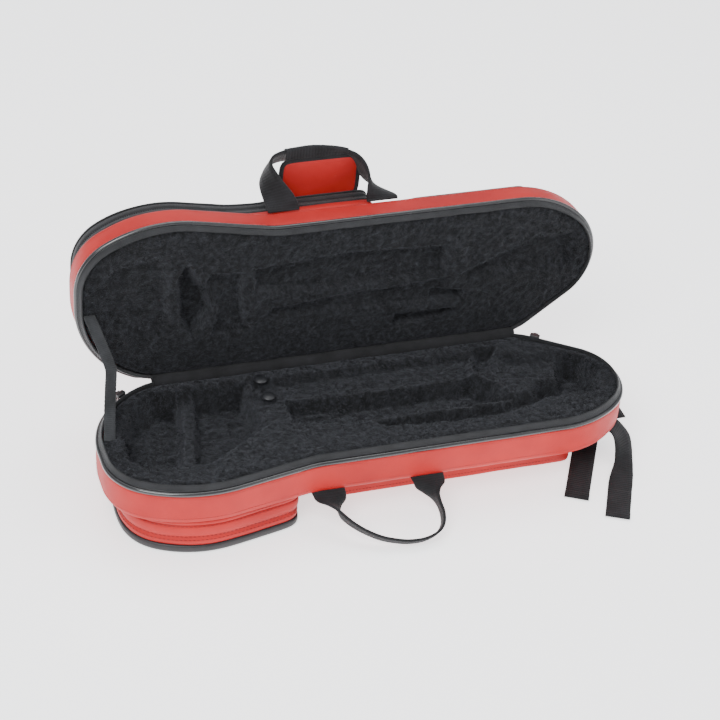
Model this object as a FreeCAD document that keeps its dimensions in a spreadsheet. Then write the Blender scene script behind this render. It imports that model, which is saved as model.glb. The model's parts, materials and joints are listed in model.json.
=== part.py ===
# Shaped zip-up case for a wind instrument, lid open, standing on its two under-pockets.
# X runs along the hinge, which is the back edge; the handles are on the front, towards -Y.
# Rim plane: where lid and base meet. Rim line: where the plush ends and the zip tape starts.
# "grow" is a distance outside the rim line, "back" a distance in front of the hinge.
# Lid pieces are drawn shut and their Placement turns them open about the hinge.
import FreeCAD, Part
import math
import os
import Sketcher
from FreeCAD import Placement, Rotation, Vector

sizeTable = [
    # plan of the rim line
    ("bellWidth", 206.5, "hinge to the front of the bell end"),
    ("waistStep", 22.5, "how much narrower the neck part is"),
    ("neckReach", 453.5, "bell corner centre to neck corner centre"),
    ("bellBackRadius", 111.5, "back corner of the bell end"),
    ("bellFrontRadius", 63, "front corner of the bell end"),
    ("bulgeRadius", 163, "front of the bell end"),
    ("bulgePlace", 110, "end of the case to the middle of the bulge"),
    ("waistPlace", 256, "end of the case to the middle of the waist"),
    ("waistRadius", 150, "hollow of the waist"),
    ("neckFrontRadius", 119, "front corner of the neck end"),
    ("neckEndStep", 35, "front corner centre to end arc centre"),
    ("neckEndRadius", 66, "end of the neck end"),
    ("neckBackStep", 20, "front corner centre back to the hinge's end"),
    ("neckBackRadius", 70, "back corner of the neck end"),
    # heights
    ("standHeight", 108, "floor to the rim plane"),
    ("baseDepth", 58, "rim plane to the underside of the base shell"),
    ("lidDepth", 47, "rim plane to the outside of the lid shell"),
    ("lidAngle", 94.4, "opening angle of the lid, degrees"),
    # shell and rim
    ("rimGap", 0.2, "half the gap between lid and base when shut"),
    ("wallReach", 7.5, "rim line to the outside of the wall"),
    ("hingeWall", 3, "thickness of the wall along the hinge"),
    ("panelThick", 5, "thickness of the large flat panels"),
    ("shellRound", 9, "rounding of the base shell's lower edge"),
    ("lidRound", 5, "rounding of the lid shell's outer edge"),
    ("tapeReach", 5.6, "rim line to the outside of the zip tape"),
    ("tapeLip", 0.6, "flat top of the zip tape"),
    ("tapeDrop", 6.8, "height of the sloped zip tape"),
    ("tapeWeb", 2.6, "thickness of the tape's foot"),
    ("toothHeight", 1.6, "height of the zip teeth"),
    ("pipingRadius", 3, "radius of the piping"),
    ("pipingReach", 6, "rim line to the middle of the piping"),
    ("zipStart", 96, "end of the case to the start of the hinge tape"),
    ("zipEndStep", 10, "front corner centre back to the hinge tape's end"),
    # plush linings
    ("fitGap", 0.3, "clearance between loose pieces"),
    ("liningDrop", 2.5, "rim plane to the top of the lining"),
    ("deepRecess", 38, "depth of the bell and neck recesses in the base"),
    ("troughDepth", 28, "depth of the body trough"),
    ("lidRecess", 24, "depth of the lid's recesses"),
    ("lidTrough", 14, "depth of the lid's trough"),
    ("borderWide", 24, "width of the lining's raised border"),
    ("ridgePlace", 118, "end of the case to the ridge beside the bell recess"),
    ("ridgeWide", 8, "width of that ridge"),
    ("troughStart", 236, "end of the case to the body trough"),
    ("troughEnd", 482, "end of the case to the end of the body trough"),
    ("troughWide", 100, "width of the body trough"),
    ("recessGap", 14, "plush wall between two recesses"),
    ("studRadius", 7.5, "radius of the lining studs"),
    ("studHeight", 3.5, "height of the lining studs"),
    # pockets
    ("pocketInset", 4, "rim line to the pocket wall, inwards"),
    ("pocketWall", 3, "thickness of the pocket walls"),
    ("pocketBack", 12, "hinge to the back of the pockets"),
    ("bellPocketEnd", 229, "end of the case to the end of the under-pocket"),
    ("pocketRound", 9, "rounding of the pockets' inner corners"),
    ("bumperHeight", 11, "height of the bumper under the pocket"),
    ("bumperReach", 1.5, "how far the bumper stands out"),
    ("bumperRound", 4.5, "rounding of the bumper"),
    ("strapPocketStart", 266, "end of the case to the strap pocket"),
    ("strapPocketLong", 338, "length of the strap pocket"),
    ("strapPocketWide", 136, "width of the strap pocket"),
    ("strapPocketRound", 14, "rounding of the strap pocket"),
    ("lidPocketEnd", 382, "end of the case to the end of the lid pocket"),
    ("lidPocketGusset", 14, "height of the lid pocket's gusset"),
    ("lidZipBand", 18, "height of the lid pocket's zip band"),
    ("smallPocketStart", 427, "end of the case to the small lid pocket"),
    ("smallPocketLong", 164, "length of the small lid pocket"),
    ("smallPocketWide", 150, "width of the small lid pocket"),
    ("smallPocketThick", 9, "thickness of the small lid pocket"),
    ("bindingWide", 7, "width of the pocket binding"),
    # handles
    ("handleWebbing", 41, "width of the handle webbing"),
    ("webbingThick", 2.4, "thickness of the handle webbing"),
    ("legFlat", 26, "flat length of a handle leg before its twist"),
    ("handleRound", 30, "corner radius of the handle loops"),
    ("axisGap", 3, "end of a handle anchor to the handle's turning axis"),
    ("axisOut", 1, "shell's side to the handle's turning axis"),
    ("lidHandleStep", 72, "waist to the middle of the lid handle"),
    ("lidHandleSpan", 129, "leg spacing of the lid handle"),
    ("lidHandleReach", 76, "reach of the lid handle"),
    ("lidHandleLean", 38, "rise of the lid handle from level, degrees"),
    ("lidGripWide", 36, "width of the lid handle's grip"),
    ("baseHandleStep", 68, "waist to the middle of the base handle"),
    ("baseHandleSpan", 128, "leg spacing of the base handle"),
    ("baseHandleReach", 64, "reach of the base handle"),
    ("baseHandleFall", 36, "fall of the base handle from level, degrees"),
    ("baseGripWide", 18, "width of the base handle's grip"),
    ("lidAnchorLong", 9, "length of a lid handle anchor"),
    ("baseAnchorLong", 28, "length of a base handle anchor"),
    ("padLong", 110, "length of the grip pad"),
    ("padDeep", 66, "depth of the grip pad"),
    ("padThick", 3, "thickness of the grip pad"),
    ("padDrop", 15, "grip's front edge down to the pad"),
    ("padRound", 18, "corner radius of the grip pad"),
    ("padBinding", 6, "width of the grip pad's binding"),
    ("hookStripLong", 84, "length of the hook strip on the grip"),
    ("hookStripThick", 1.6, "thickness of the hook strip"),
    # straps and stay
    ("tailWide", 31, "width of the strap tails"),
    ("tailThick", 1.8, "thickness of the strap webbing"),
    ("tailLevel", 10, "level start of a strap tail, out to its first bend"),
    ("tailBend", 20, "radius of a strap tail's bends"),
    ("tailTurn", 60, "turn of a strap tail's bends, degrees"),
    ("tailAnchorLong", 45, "length of a strap anchor under the base"),
    ("stayWide", 14, "width of the lid stay"),
    ("stayThick", 1.6, "thickness of the lid stay"),
    ("stayBase", 101, "hinge to the stay's lower end"),
    ("stayKink", 47, "hinge to the stay's fold"),
    ("stayKinkRise", 68, "rim plane of the base to the stay's fold"),
    ("stayTop", 101, "rim plane of the base to the stay's upper end"),
    # zip sliders
    ("sliderLong", 13, "length of a zip slider"),
    ("sliderWide", 7, "width of a zip slider"),
    ("sliderThick", 4, "thickness of a zip slider"),
    ("pullLong", 20, "length of a zip pull"),
    ("pullWide", 6, "width of a zip pull"),
    ("pullThick", 1.8, "thickness of a zip pull"),
]

doc = FreeCAD.newDocument("InstrumentCase")
sheet = doc.addObject("Spreadsheet::Sheet", "Sizes")
for row, (alias, value, meaning) in enumerate(sizeTable, start=1):
    sheet.set("A%d" % row, meaning)
    sheet.set("B%d" % row, str(value))
    sheet.setAlias("B%d" % row, alias)
doc.recompute()
size = {alias: float(sheet.get(alias)) for alias, value, meaning in sizeTable}

shellTop = "tapeDrop + toothHeight + 2*pipingRadius"
neckPlace = "bellBackRadius + neckReach"
frontWidth = "bellWidth - waistStep"
nodes = {}


# ---------- sizes written as sums of sheet values ----------

def worth(text):
    total, sign = 0.0, 1.0
    for word in text.split():
        if word in ("+", "-"):
            sign = 1.0 if word == "+" else -1.0
            continue
        term = sign
        for factor in word.split("*"):
            term *= size[factor] if factor in size else float(factor)
        total += term
    return total


def formula(text):
    words = []
    for word in text.split():
        words.append("*".join("Sizes." + f if f in size else f for f in word.split("*")))
    return " ".join(words)


def minus(text):
    # the same sum with every sign turned
    words = text.split()
    if words[0] not in ("+", "-"):
        words.insert(0, "+")
    return " ".join({"+": "-", "-": "+"}.get(w, w) for w in words)


def bind(item, name, text):
    item.setExpression(name, formula(text))


# ---------- bodies, sketches and features ----------

def newBody(label):
    body = doc.addObject("PartDesign::Body", label)
    body.Label = label
    return body


def planSketch(body, level="0", role="XY_Plane"):
    sketch = body.newObject("Sketcher::SketchObject", body.Label + "_sketch")
    plane = [f for f in body.Origin.OriginFeatures if f.Role == role][0]
    sketch.AttachmentSupport = [(plane, "")]
    sketch.MapMode = "FlatFace"
    bind(sketch, "AttachmentOffset.Base.z", level)
    return sketch


def measure(sketch, kind, places, text):
    index = sketch.addConstraint(Sketcher.Constraint(kind, *places, worth(text)))
    bind(sketch, "Constraints[%d]" % index, text)


def pinPoint(sketch, geo, end, textX, textY):
    measure(sketch, "DistanceX", (-1, 1, geo, end), textX)
    measure(sketch, "DistanceY", (-1, 1, geo, end), textY)


def polygon(sketch, corners):
    # straight outline through corners, each a pair of sums
    spots = [Vector(worth(x), worth(y), 0) for x, y in corners]
    first = None
    for i, spot in enumerate(spots):
        geo = sketch.addGeometry(Part.LineSegment(spot, spots[(i + 1) % len(spots)]), False)
        first = geo if first is None else first
        if i:
            sketch.addConstraint(Sketcher.Constraint("Coincident", geo - 1, 2, geo, 1))
    sketch.addConstraint(Sketcher.Constraint("Coincident", geo, 2, first, 1))
    for i, (x, y) in enumerate(corners):
        pinPoint(sketch, first + i, 1, x, y)


def rectangle(sketch, left, right, low, high):
    polygon(sketch, [(left, low), (right, low), (right, high), (left, high)])


def circle(sketch, textX, textY, radius):
    spot = Vector(worth(textX), worth(textY), 0)
    geo = sketch.addGeometry(Part.Circle(spot, Vector(0, 0, 1), worth(radius)), False)
    measure(sketch, "Radius", (geo,), radius)
    pinPoint(sketch, geo, 3, textX, textY)


def pad(body, sketch, length, both=False, down=False):
    feature = body.newObject("PartDesign::Pad", body.Label + "_pad")
    feature.Profile = sketch
    bind(feature, "Length", length)
    feature.Midplane = both
    feature.Reversed = down
    sketch.Visibility = False
    doc.recompute()
    return feature


def pocket(body, sketch, length, up=False):
    before = body.Shape.Volume
    feature = body.newObject("PartDesign::Pocket", body.Label + "_pocket")
    feature.Profile = sketch
    bind(feature, "Length", length)
    feature.Reversed = up
    doc.recompute()
    if body.Shape.Volume > before - 0.5:
        raise RuntimeError(body.Label + ": a pocket cuts nothing")
    return feature


def flatEdges(shape, level):
    names = []
    for number, edge in enumerate(shape.Edges, start=1):
        box = edge.BoundBox
        if abs(box.ZMin - level) < 0.01 and abs(box.ZMax - level) < 0.01:
            names.append("Edge%d" % number)
    return names


def uprightEdges(shape, low, high, test):
    names = []
    for number, edge in enumerate(shape.Edges, start=1):
        box = edge.BoundBox
        thin = box.XLength < 0.01 and box.YLength < 0.01
        if thin and abs(box.ZMin - low) < 0.6 and abs(box.ZMax - high) < 0.6 and test(box):
            names.append("Edge%d" % number)
    return names


def fillet(body, edges, radius):
    solid = body.Tip
    feature = body.newObject("PartDesign::Fillet", body.Label + "_fillet")
    feature.Base = (solid, edges)
    bind(feature, "Radius", radius)
    doc.recompute()
    return feature


def keep(item, place):
    item.Placement = place
    nodes[item.Label] = item
    return item


# ---------- the rim outline ----------

def turned(centre, radius, degrees):
    a = math.radians(degrees)
    return Vector(centre.x + radius * math.cos(a), centre.y + radius * math.sin(a), 0)


def heading(v):
    return math.degrees(math.atan2(v.y, v.x))


def rimCentres():
    spot = {}
    spot["bellBack"] = Vector(size["bellBackRadius"], -size["bellBackRadius"], 0)
    spot["bulge"] = Vector(size["bulgePlace"], size["bulgeRadius"] - size["bellWidth"], 0)
    across = size["bulgePlace"] - size["bellFrontRadius"]
    apart = size["bulgeRadius"] - size["bellFrontRadius"]
    down = math.sqrt(apart ** 2 - across ** 2)
    spot["bellFront"] = Vector(size["bellFrontRadius"], spot["bulge"].y - down, 0)
    front = -worth(frontWidth)
    spot["waist"] = Vector(size["waistPlace"], front - size["waistRadius"], 0)
    spot["neckFront"] = Vector(worth(neckPlace), front + size["neckFrontRadius"], 0)
    apart = size["neckFrontRadius"] - size["neckEndRadius"]
    down = math.sqrt(apart ** 2 - size["neckEndStep"] ** 2)
    spot["neckEnd"] = spot["neckFront"] + Vector(size["neckEndStep"], -down, 0)
    spot["neckBack"] = Vector(worth(neckPlace) - size["neckBackStep"], -size["neckBackRadius"], 0)
    return spot


def rimPieces(grow, back, cutX, cutSide):
    # arcs and lines of the outline in order, from the bell end's back corner, round the front
    spot = rimCentres()
    bulge, waist, neckEnd, neckBack = (spot[n] for n in ("bulge", "waist", "neckEnd", "neckBack"))
    radius = {n: size[n + "Radius"] + grow for n in spot if n != "waist"}
    radius["waist"] = size["waistRadius"] - grow
    span = waist - bulge
    flank = heading(span) - math.degrees(math.acos((radius["bulge"] + radius["waist"]) / span.Length))
    span = neckBack - neckEnd
    slant = heading(span) - math.degrees(math.acos((radius["neckEnd"] - radius["neckBack"]) / span.Length))
    backTurn = {n: math.degrees(math.asin(min(1, (size[n + "Radius"] - back) / radius[n])))
                for n in ("bellBack", "neckBack")}
    bellTurn = heading(spot["bellFront"] - bulge) % 360
    endTurn = heading(neckEnd - spot["neckFront"]) % 360
    front = -worth(frontWidth) - grow

    def arc(name, start, stop):
        return (name, "arc", spot[name], radius[name], start, stop)

    flankStart = turned(bulge, radius["bulge"], flank)
    flankStop = turned(waist, radius["waist"], flank + 180)
    pieces = [
        arc("bellBack", 180 - backTurn["bellBack"], 180),
        ("left", "line", Vector(-grow, spot["bellBack"].y, 0), Vector(-grow, spot["bellFront"].y, 0)),
        arc("bellFront", 180, bellTurn),
        arc("bulge", bellTurn, flank % 360),
    ]
    if cutSide == "flank":
        slope = (flankStop.y - flankStart.y) / (flankStop.x - flankStart.x)
        flankStop = Vector(cutX, flankStart.y + slope * (cutX - flankStart.x), 0)
    pieces.append(("flank", "line", flankStart, flankStop))
    if cutSide != "flank":
        pieces.append(arc("waist", 90, flank + 180))
        stop = cutX if cutSide == "front" else spot["neckFront"].x
        pieces.append(("front", "line", Vector(waist.x, front, 0), Vector(stop, front, 0)))
    if cutSide:
        pieces.append(("right", "line", pieces[-1][3], Vector(cutX, -back, 0)))
    else:
        pieces.append(arc("neckFront", 270, endTurn))
        pieces.append(arc("neckEnd", endTurn, 360 + slant))
        pieces.append(("slant", "line", turned(neckEnd, radius["neckEnd"], slant),
                       turned(neckBack, radius["neckBack"], slant)))
        pieces.append(arc("neckBack", slant, backTurn["neckBack"]))
    return pieces


def rimOutline(sketch, grow, back, cut="0", cutSide=None, closed=True):
    # the outline with its sizes bound to the sheet; a back of minus grow runs smoothly into the hinge
    smooth = back == minus(grow)
    pieces = rimPieces(worth(grow), worth(back), worth(cut), cutSide)
    place, ends, spots = {}, [], []
    for name, kind, *data in pieces:
        if kind == "arc":
            centre, radius, start, stop = data
            ring = Part.Circle(centre, Vector(0, 0, 1), radius)
            geo = sketch.addGeometry(Part.ArcOfCircle(ring, math.radians(start), math.radians(stop)), False)
            order = (2, 1) if name == "waist" else (1, 2)
            spots.append((turned(centre, radius, start), turned(centre, radius, stop)))
        else:
            geo = sketch.addGeometry(Part.LineSegment(*data), False)
            order = (1, 2)
            spots.append(tuple(data))
        place[name] = geo
        ends.append((geo, order))
    names = [p[0] for p in pieces]
    for i in range(len(pieces) - 1):
        kind = "Coincident" if names[i + 1] == "right" else "Tangent"
        join = Sketcher.Constraint(kind, ends[i][0], ends[i][1][1], ends[i + 1][0], ends[i + 1][1][0])
        sketch.addConstraint(join)
    if closed:
        geo = sketch.addGeometry(Part.LineSegment(spots[-1][1], spots[0][0]), False)
        kind = "Tangent" if smooth else "Coincident"
        sketch.addConstraint(Sketcher.Constraint(kind, ends[-1][0], ends[-1][1][1], geo, 1))
        sketch.addConstraint(Sketcher.Constraint(kind, geo, 2, ends[0][0], ends[0][1][0]))
        sketch.addConstraint(Sketcher.Constraint("Horizontal", geo))
        measure(sketch, "DistanceY", (-1, 1, geo, 1), minus(back))
    else:
        for geo, end in ((ends[0][0], ends[0][1][0]), (ends[-1][0], ends[-1][1][1])):
            measure(sketch, "DistanceY", (-1, 1, geo, end), minus(back))
    for name in names:
        if name in ("left", "right"):
            sketch.addConstraint(Sketcher.Constraint("Vertical", place[name]))
        elif name == "front":
            sketch.addConstraint(Sketcher.Constraint("Horizontal", place[name]))
        elif name not in ("flank", "slant"):
            text = "waistRadius - " + grow if name == "waist" else name + "Radius + " + grow
            if grow.startswith("-"):
                text = name + "Radius " + (minus(grow) if name == "waist" else grow)
            measure(sketch, "Radius", (place[name],), text)
    measure(sketch, "DistanceX", (-1, 1, place["left"], 1), minus(grow))
    if not smooth:
        measure(sketch, "DistanceY", (-1, 1, place["bellBack"], 3), "- bellBackRadius")
    pinPoint(sketch, place["bulge"], 3, "bulgePlace", "bulgeRadius - bellWidth")
    if cutSide == "flank":
        wide = "waistRadius " + minus(grow) if grow.startswith("-") else "waistRadius - " + grow
        centre = rimCentres()["waist"]
        guide = sketch.addGeometry(Part.Circle(centre, Vector(0, 0, 1), worth(wide)), True)
        measure(sketch, "Radius", (guide,), wide)
        pinPoint(sketch, guide, 3, "waistPlace", "waistStep - bellWidth - waistRadius")
        sketch.addConstraint(Sketcher.Constraint("Tangent", place["flank"], guide))
    else:
        measure(sketch, "DistanceX", (-1, 1, place["waist"], 3), "waistPlace")
        measure(sketch, "DistanceY", (-1, 1, place["front"], 1), minus(frontWidth) + " " + (
            minus(grow) if grow.startswith("-") else "- " + grow))
    if cutSide:
        measure(sketch, "DistanceX", (-1, 1, place["right"], 1), cut)
    else:
        measure(sketch, "DistanceX", (-1, 1, place["neckFront"], 3), neckPlace)
        measure(sketch, "DistanceX", (-1, 1, place["neckEnd"], 3), neckPlace + " + neckEndStep")
        measure(sketch, "DistanceX", (-1, 1, place["neckBack"], 3), neckPlace + " - neckBackStep")
        if not smooth:
            measure(sketch, "DistanceY", (-1, 1, place["neckBack"], 3), "- neckBackRadius")
    doc.recompute()
    return sketch


# ---------- places ----------

start = Vector(-(worth(neckPlace) + worth("neckEndStep + neckEndRadius")) / 2, 100, size["standHeight"])
basePlace = Placement(start, Rotation())
lidPlace = Placement(start, Rotation(Vector(1, 0, 0), -size["lidAngle"]))


def lidPoint(x, y, z):
    # a point of the shut lid, where the open lid holds it
    return lidPlace.multVec(Vector(x, y, z))


# ---------- shell, rim and lining: the same for base and lid ----------

def shellHalf(label, depth, rounding, place, low):
    side = "- " if low else ""
    body = newBody(label)
    outline = planSketch(body, minus(shellTop) if low else shellTop)
    rimOutline(outline, "wallReach", "- wallReach")
    pad(body, outline, depth + " " + minus(shellTop), down=low)
    edges = flatEdges(body.Tip.Shape, worth(side + depth))
    fillet(body, edges, rounding)
    behind = planSketch(body, minus(shellTop) if low else shellTop)
    rectangle(behind, "0", neckPlace + " + 2*neckBackRadius", "- rimGap", "2*wallReach")
    pocket(body, behind, depth, up=not low)
    inside = planSketch(body, minus(shellTop) if low else shellTop)
    rimOutline(inside, "0", "hingeWall")
    pocket(body, inside, depth + " - panelThick " + minus(shellTop), up=not low)
    keep(body, place)


def zipTape(label, place, low):
    # sloped band round the rim with a foot under it, open along the hinge
    body = newBody(label)
    wide = planSketch(body, "- tapeDrop" if low else "tapeDrop")
    rimOutline(wide, "tapeReach", "rimGap")
    narrow = planSketch(body, "- rimGap" if low else "rimGap")
    rimOutline(narrow, "tapeLip", "rimGap")
    loft = body.newObject("PartDesign::AdditiveLoft", label + "_slope")
    loft.Profile = wide
    loft.Sections = [narrow]
    loft.Ruled = True
    doc.recompute()
    foot = planSketch(body, minus(shellTop) if low else shellTop)
    rimOutline(foot, "tapeWeb", "rimGap")
    pad(body, foot, shellTop + " - tapeDrop", down=not low)
    inside = planSketch(body, minus(shellTop) if low else shellTop)
    rimOutline(inside, "0", "hingeWall")
    pocket(body, inside, shellTop, up=low)
    gap = planSketch(body, minus(shellTop) if low else shellTop)
    rectangle(gap, "zipStart", neckPlace + " - zipEndStep", "- 2*hingeWall", "0")
    pocket(body, gap, shellTop, up=low)
    keep(body, place)


def zipTeeth(label, place, low):
    body = newBody(label)
    ring = planSketch(body, "- tapeDrop" if low else "tapeDrop")
    rimOutline(ring, "tapeReach", "rimGap")
    pad(body, ring, "toothHeight", down=low)
    inside = planSketch(body, "- tapeDrop" if low else "tapeDrop")
    rimOutline(inside, "tapeWeb + fitGap", "0")
    pocket(body, inside, "toothHeight", up=not low)
    keep(body, place)


def piping(label, place, low):
    middle = shellTop + " - pipingRadius"
    body = newBody(label)
    path = planSketch(body, minus(middle) if low else middle)
    rimOutline(path, "pipingReach", "rimGap", closed=False)
    section = planSketch(body, "0.5*waistPlace + 0.5*bellBackRadius + 0.5*neckReach", "YZ_Plane")
    # in this plane the sketch's own X is the case's Y, and its Y is the case's Z
    circle(section, minus(frontWidth) + " - pipingReach", minus(middle) if low else middle, "pipingRadius")
    sweep = body.newObject("PartDesign::AdditivePipe", label + "_sweep")
    sweep.Profile = section
    sweep.Spine = (path, [])
    doc.recompute()
    keep(body, place)


def hingeTape(label, place, low):
    body = newBody(label)
    strip = planSketch(body, "- rimGap" if low else "rimGap")
    rectangle(strip, "zipStart", neckPlace + " - zipEndStep", "- hingeWall", "- rimGap")
    pad(body, strip, shellTop + " - rimGap", down=low)
    keep(body, place)


def liningBlock(label, depth, place, low):
    body = newBody(label)
    top = planSketch(body, "- liningDrop" if low else "liningDrop")
    rimOutline(top, "- fitGap", "hingeWall + fitGap")
    pad(body, top, depth + " - panelThick - liningDrop - fitGap", down=low)
    return body


def recess(body, corners, deep, low):
    outline = planSketch(body, "- liningDrop" if low else "liningDrop")
    polygon(outline, corners)
    pocket(body, outline, deep, up=not low)


# ---------- base ----------

shellHalf("base_shell", "baseDepth", "shellRound", basePlace, True)
zipTape("base_zip_tape", basePlace, True)
zipTeeth("base_zip_teeth", basePlace, True)
piping("base_piping", basePlace, True)
hingeTape("base_hinge_tape", basePlace, True)

lining = liningBlock("base_lining", "baseDepth", basePlace, True)
front = "2*borderWide - bellWidth"
recess(lining, [("borderWide", "- 4*borderWide"), ("3*borderWide", "- borderWide"),
                ("ridgePlace", "- borderWide"), ("ridgePlace", front),
                ("2*borderWide", front), ("borderWide", front + " + borderWide")], "deepRecess", True)
recess(lining, [("ridgePlace + ridgeWide", "- borderWide"), ("troughStart - 2.5*recessGap", "- borderWide"),
                ("troughStart - 2.5*recessGap", "- 4*borderWide"), ("ridgePlace + ridgeWide", front)],
       "deepRecess", True)
trough = "- borderWide - troughWide"
recess(lining, [("troughStart", "- borderWide"), ("troughEnd", "- borderWide"),
                ("troughEnd", trough), ("troughStart", trough)], "troughDepth", True)
neckFar = neckPlace + " + neckEndStep"
recess(lining, [("troughEnd + recessGap", "- borderWide"), (neckPlace, "- borderWide"),
                (neckFar + " + borderWide", "- 3*borderWide"), (neckFar + " + borderWide", trough),
                (neckPlace, trough + " - 0.5*borderWide"), ("troughEnd + recessGap", trough)],
       "deepRecess", True)
keep(lining, basePlace)


def dome(label, x, y, level):
    # low domed stud, turned about its own upright axis
    body = newBody(label)
    half = planSketch(body, "0", "XZ_Plane")
    polygon(half, [("0", "0"), ("studRadius", "0"), ("studRadius", "0.4*studHeight"),
                   ("0.7*studRadius", "0.85*studHeight"), ("0.3*studRadius", "studHeight"),
                   ("0", "studHeight")])
    turn = body.newObject("PartDesign::Revolution", label + "_turn")
    turn.Profile = half
    turn.ReferenceAxis = (half, ["V_Axis"])
    turn.Angle = 360
    doc.recompute()
    keep(body, basePlace.multiply(Placement(Vector(x, y, level), Rotation())))


studAcross = worth("troughStart - 1.25*recessGap")
dome("stud_rear", studAcross, -worth("borderWide"), -size["liningDrop"])
dome("stud_front", studAcross, -worth("borderWide + 0.35*troughWide"), -size["liningDrop"])


# ---------- pockets ----------

def pocketRing(label, grow, level, height, end, side, place, low):
    # upright wall of a pocket; the pocket's inside is left hollow
    body = newBody(label)
    outer = planSketch(body, level)
    rimOutline(outer, grow, "pocketBack", end, side)
    pad(body, outer, height, down=low)
    reach = (worth(level), worth(level) + worth(height) * (-1 if low else 1))
    corners = uprightEdges(body.Tip.Shape, *sorted(reach), lambda box: abs(box.XMin - worth(end)) < 0.01)
    fillet(body, corners, "pocketRound")
    inner = planSketch(body, level)
    wall = "pocketWall"
    rimOutline(inner, grow + " - " + wall, "pocketBack + " + wall, end + " - " + wall, side)
    pocket(body, inner, height, up=not low)
    keep(body, place)


gusset = "standHeight - baseDepth - bumperHeight"
pocketRing("bell_pocket_gusset", "- pocketInset", "- baseDepth", gusset, "bellPocketEnd", "flank",
           basePlace, True)

bumper = newBody("bell_pocket_bumper")
outline = planSketch(bumper, "bumperHeight - standHeight")
rimOutline(outline, "- pocketInset + bumperReach", "pocketBack - bumperReach",
           "bellPocketEnd + bumperReach", "flank")
pad(bumper, outline, "bumperHeight", down=True)
corners = uprightEdges(bumper.Tip.Shape, -worth("standHeight"), worth("bumperHeight - standHeight"),
                       lambda box: abs(box.XMin - worth("bellPocketEnd + bumperReach")) < 0.01)
fillet(bumper, corners, "pocketRound")
fillet(bumper, flatEdges(bumper.Tip.Shape, -worth("standHeight")), "bumperRound")
keep(bumper, basePlace)

strapPocket = newBody("strap_pocket")
outline = planSketch(strapPocket, "- baseDepth")
rectangle(outline, "strapPocketStart", "strapPocketStart + strapPocketLong",
          "- pocketBack - strapPocketWide", "- pocketBack")
pad(strapPocket, outline, "standHeight - baseDepth", down=True)
low, high = -worth("standHeight"), -worth("baseDepth")
fillet(strapPocket, uprightEdges(strapPocket.Tip.Shape, low, high, lambda box: True), "strapPocketRound")
fillet(strapPocket, flatEdges(strapPocket.Tip.Shape, low), "0.5*strapPocketRound")
inside = planSketch(strapPocket, "- baseDepth")
rectangle(inside, "strapPocketStart + pocketWall", "strapPocketStart + strapPocketLong - pocketWall",
          "pocketWall - pocketBack - strapPocketWide", "- pocketBack - pocketWall")
pocket(strapPocket, inside, "standHeight - baseDepth - pocketWall")
keep(strapPocket, basePlace)


# ---------- lid ----------

shellHalf("lid_shell", "lidDepth", "lidRound", lidPlace, False)
zipTape("lid_zip_tape", lidPlace, False)
zipTeeth("lid_zip_teeth", lidPlace, False)
piping("lid_piping", lidPlace, False)
hingeTape("lid_hinge_tape", lidPlace, False)

lining = liningBlock("lid_lining", "lidDepth", lidPlace, False)
recess(lining, [("borderWide", "- 4*borderWide"), ("3*borderWide", "- 2*borderWide"),
                ("ridgePlace - ridgeWide", "- 3*borderWide"), ("ridgePlace - ridgeWide", front),
                ("2*borderWide", front), ("borderWide", front + " + borderWide")], "lidRecess", False)
recess(lining, [("ridgePlace + ridgeWide", "- 2*borderWide"), ("troughStart - 3*recessGap", "- 3*borderWide"),
                ("ridgePlace + 4*ridgeWide", front), ("ridgePlace + ridgeWide", front)], "lidRecess", False)
recess(lining, [("troughStart - recessGap", "- 2*borderWide"), ("troughEnd", "- 2*borderWide"),
                ("troughEnd", trough), ("troughStart - recessGap", trough + " - 0.5*borderWide")],
       "lidTrough", False)
recess(lining, [("troughEnd + recessGap", "- 3*borderWide"), (neckFar + " + borderWide", "- 3*borderWide"),
                (neckFar + " + borderWide", trough), (neckPlace, trough + " - 0.5*borderWide")],
       "lidRecess", False)
keep(lining, lidPlace)

pocketRing("lid_pocket_gusset", "- pocketInset", "lidDepth", "lidPocketGusset", "lidPocketEnd", "front",
           lidPlace, False)
pocketRing("lid_pocket_zip_band", "- pocketInset", "lidDepth + lidPocketGusset", "lidZipBand",
           "lidPocketEnd", "front", lidPlace, False)

panel = newBody("lid_pocket_panel")
outline = planSketch(panel, "lidDepth + lidPocketGusset + lidZipBand")
rimOutline(outline, "- pocketInset", "pocketBack", "lidPocketEnd", "front")
pad(panel, outline, "pocketWall")
top = worth("lidDepth + lidPocketGusset + lidZipBand + pocketWall")
corners = uprightEdges(panel.Tip.Shape, top - size["pocketWall"], top,
                       lambda box: abs(box.XMin - worth("lidPocketEnd")) < 0.01)
fillet(panel, corners, "pocketRound")
fillet(panel, flatEdges(panel.Tip.Shape, top), "0.6*pocketWall")
keep(panel, lidPlace)

smallEnd = "smallPocketStart + smallPocketLong"
smallFront = "waistStep - bellWidth - 0.5*pocketInset"
smallBack = smallFront + " + smallPocketWide"


def smallPocketPiece(label, inset, hollow):
    body = newBody(label)
    outline = planSketch(body, "lidDepth")
    rectangle(outline, "smallPocketStart + " + inset, smallEnd + " " + minus(inset),
              smallFront + " + " + inset, smallBack + " " + minus(inset))
    pad(body, outline, "smallPocketThick")
    top = worth("lidDepth + smallPocketThick")
    fillet(body, uprightEdges(body.Tip.Shape, worth("lidDepth"), top, lambda box: True),
           "strapPocketRound" if hollow else "strapPocketRound - bindingWide")
    if hollow:
        inside = planSketch(body, "lidDepth")
        rectangle(inside, "smallPocketStart + bindingWide", smallEnd + " - bindingWide",
                  smallFront + " + bindingWide", smallBack + " - bindingWide")
        pocket(body, inside, "smallPocketThick", up=True)
    keep(body, lidPlace)


smallPocketPiece("small_pocket_binding", "0", True)
smallPocketPiece("small_pocket_panel", "bindingWide + fitGap", False)


# ---------- handles ----------

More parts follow.
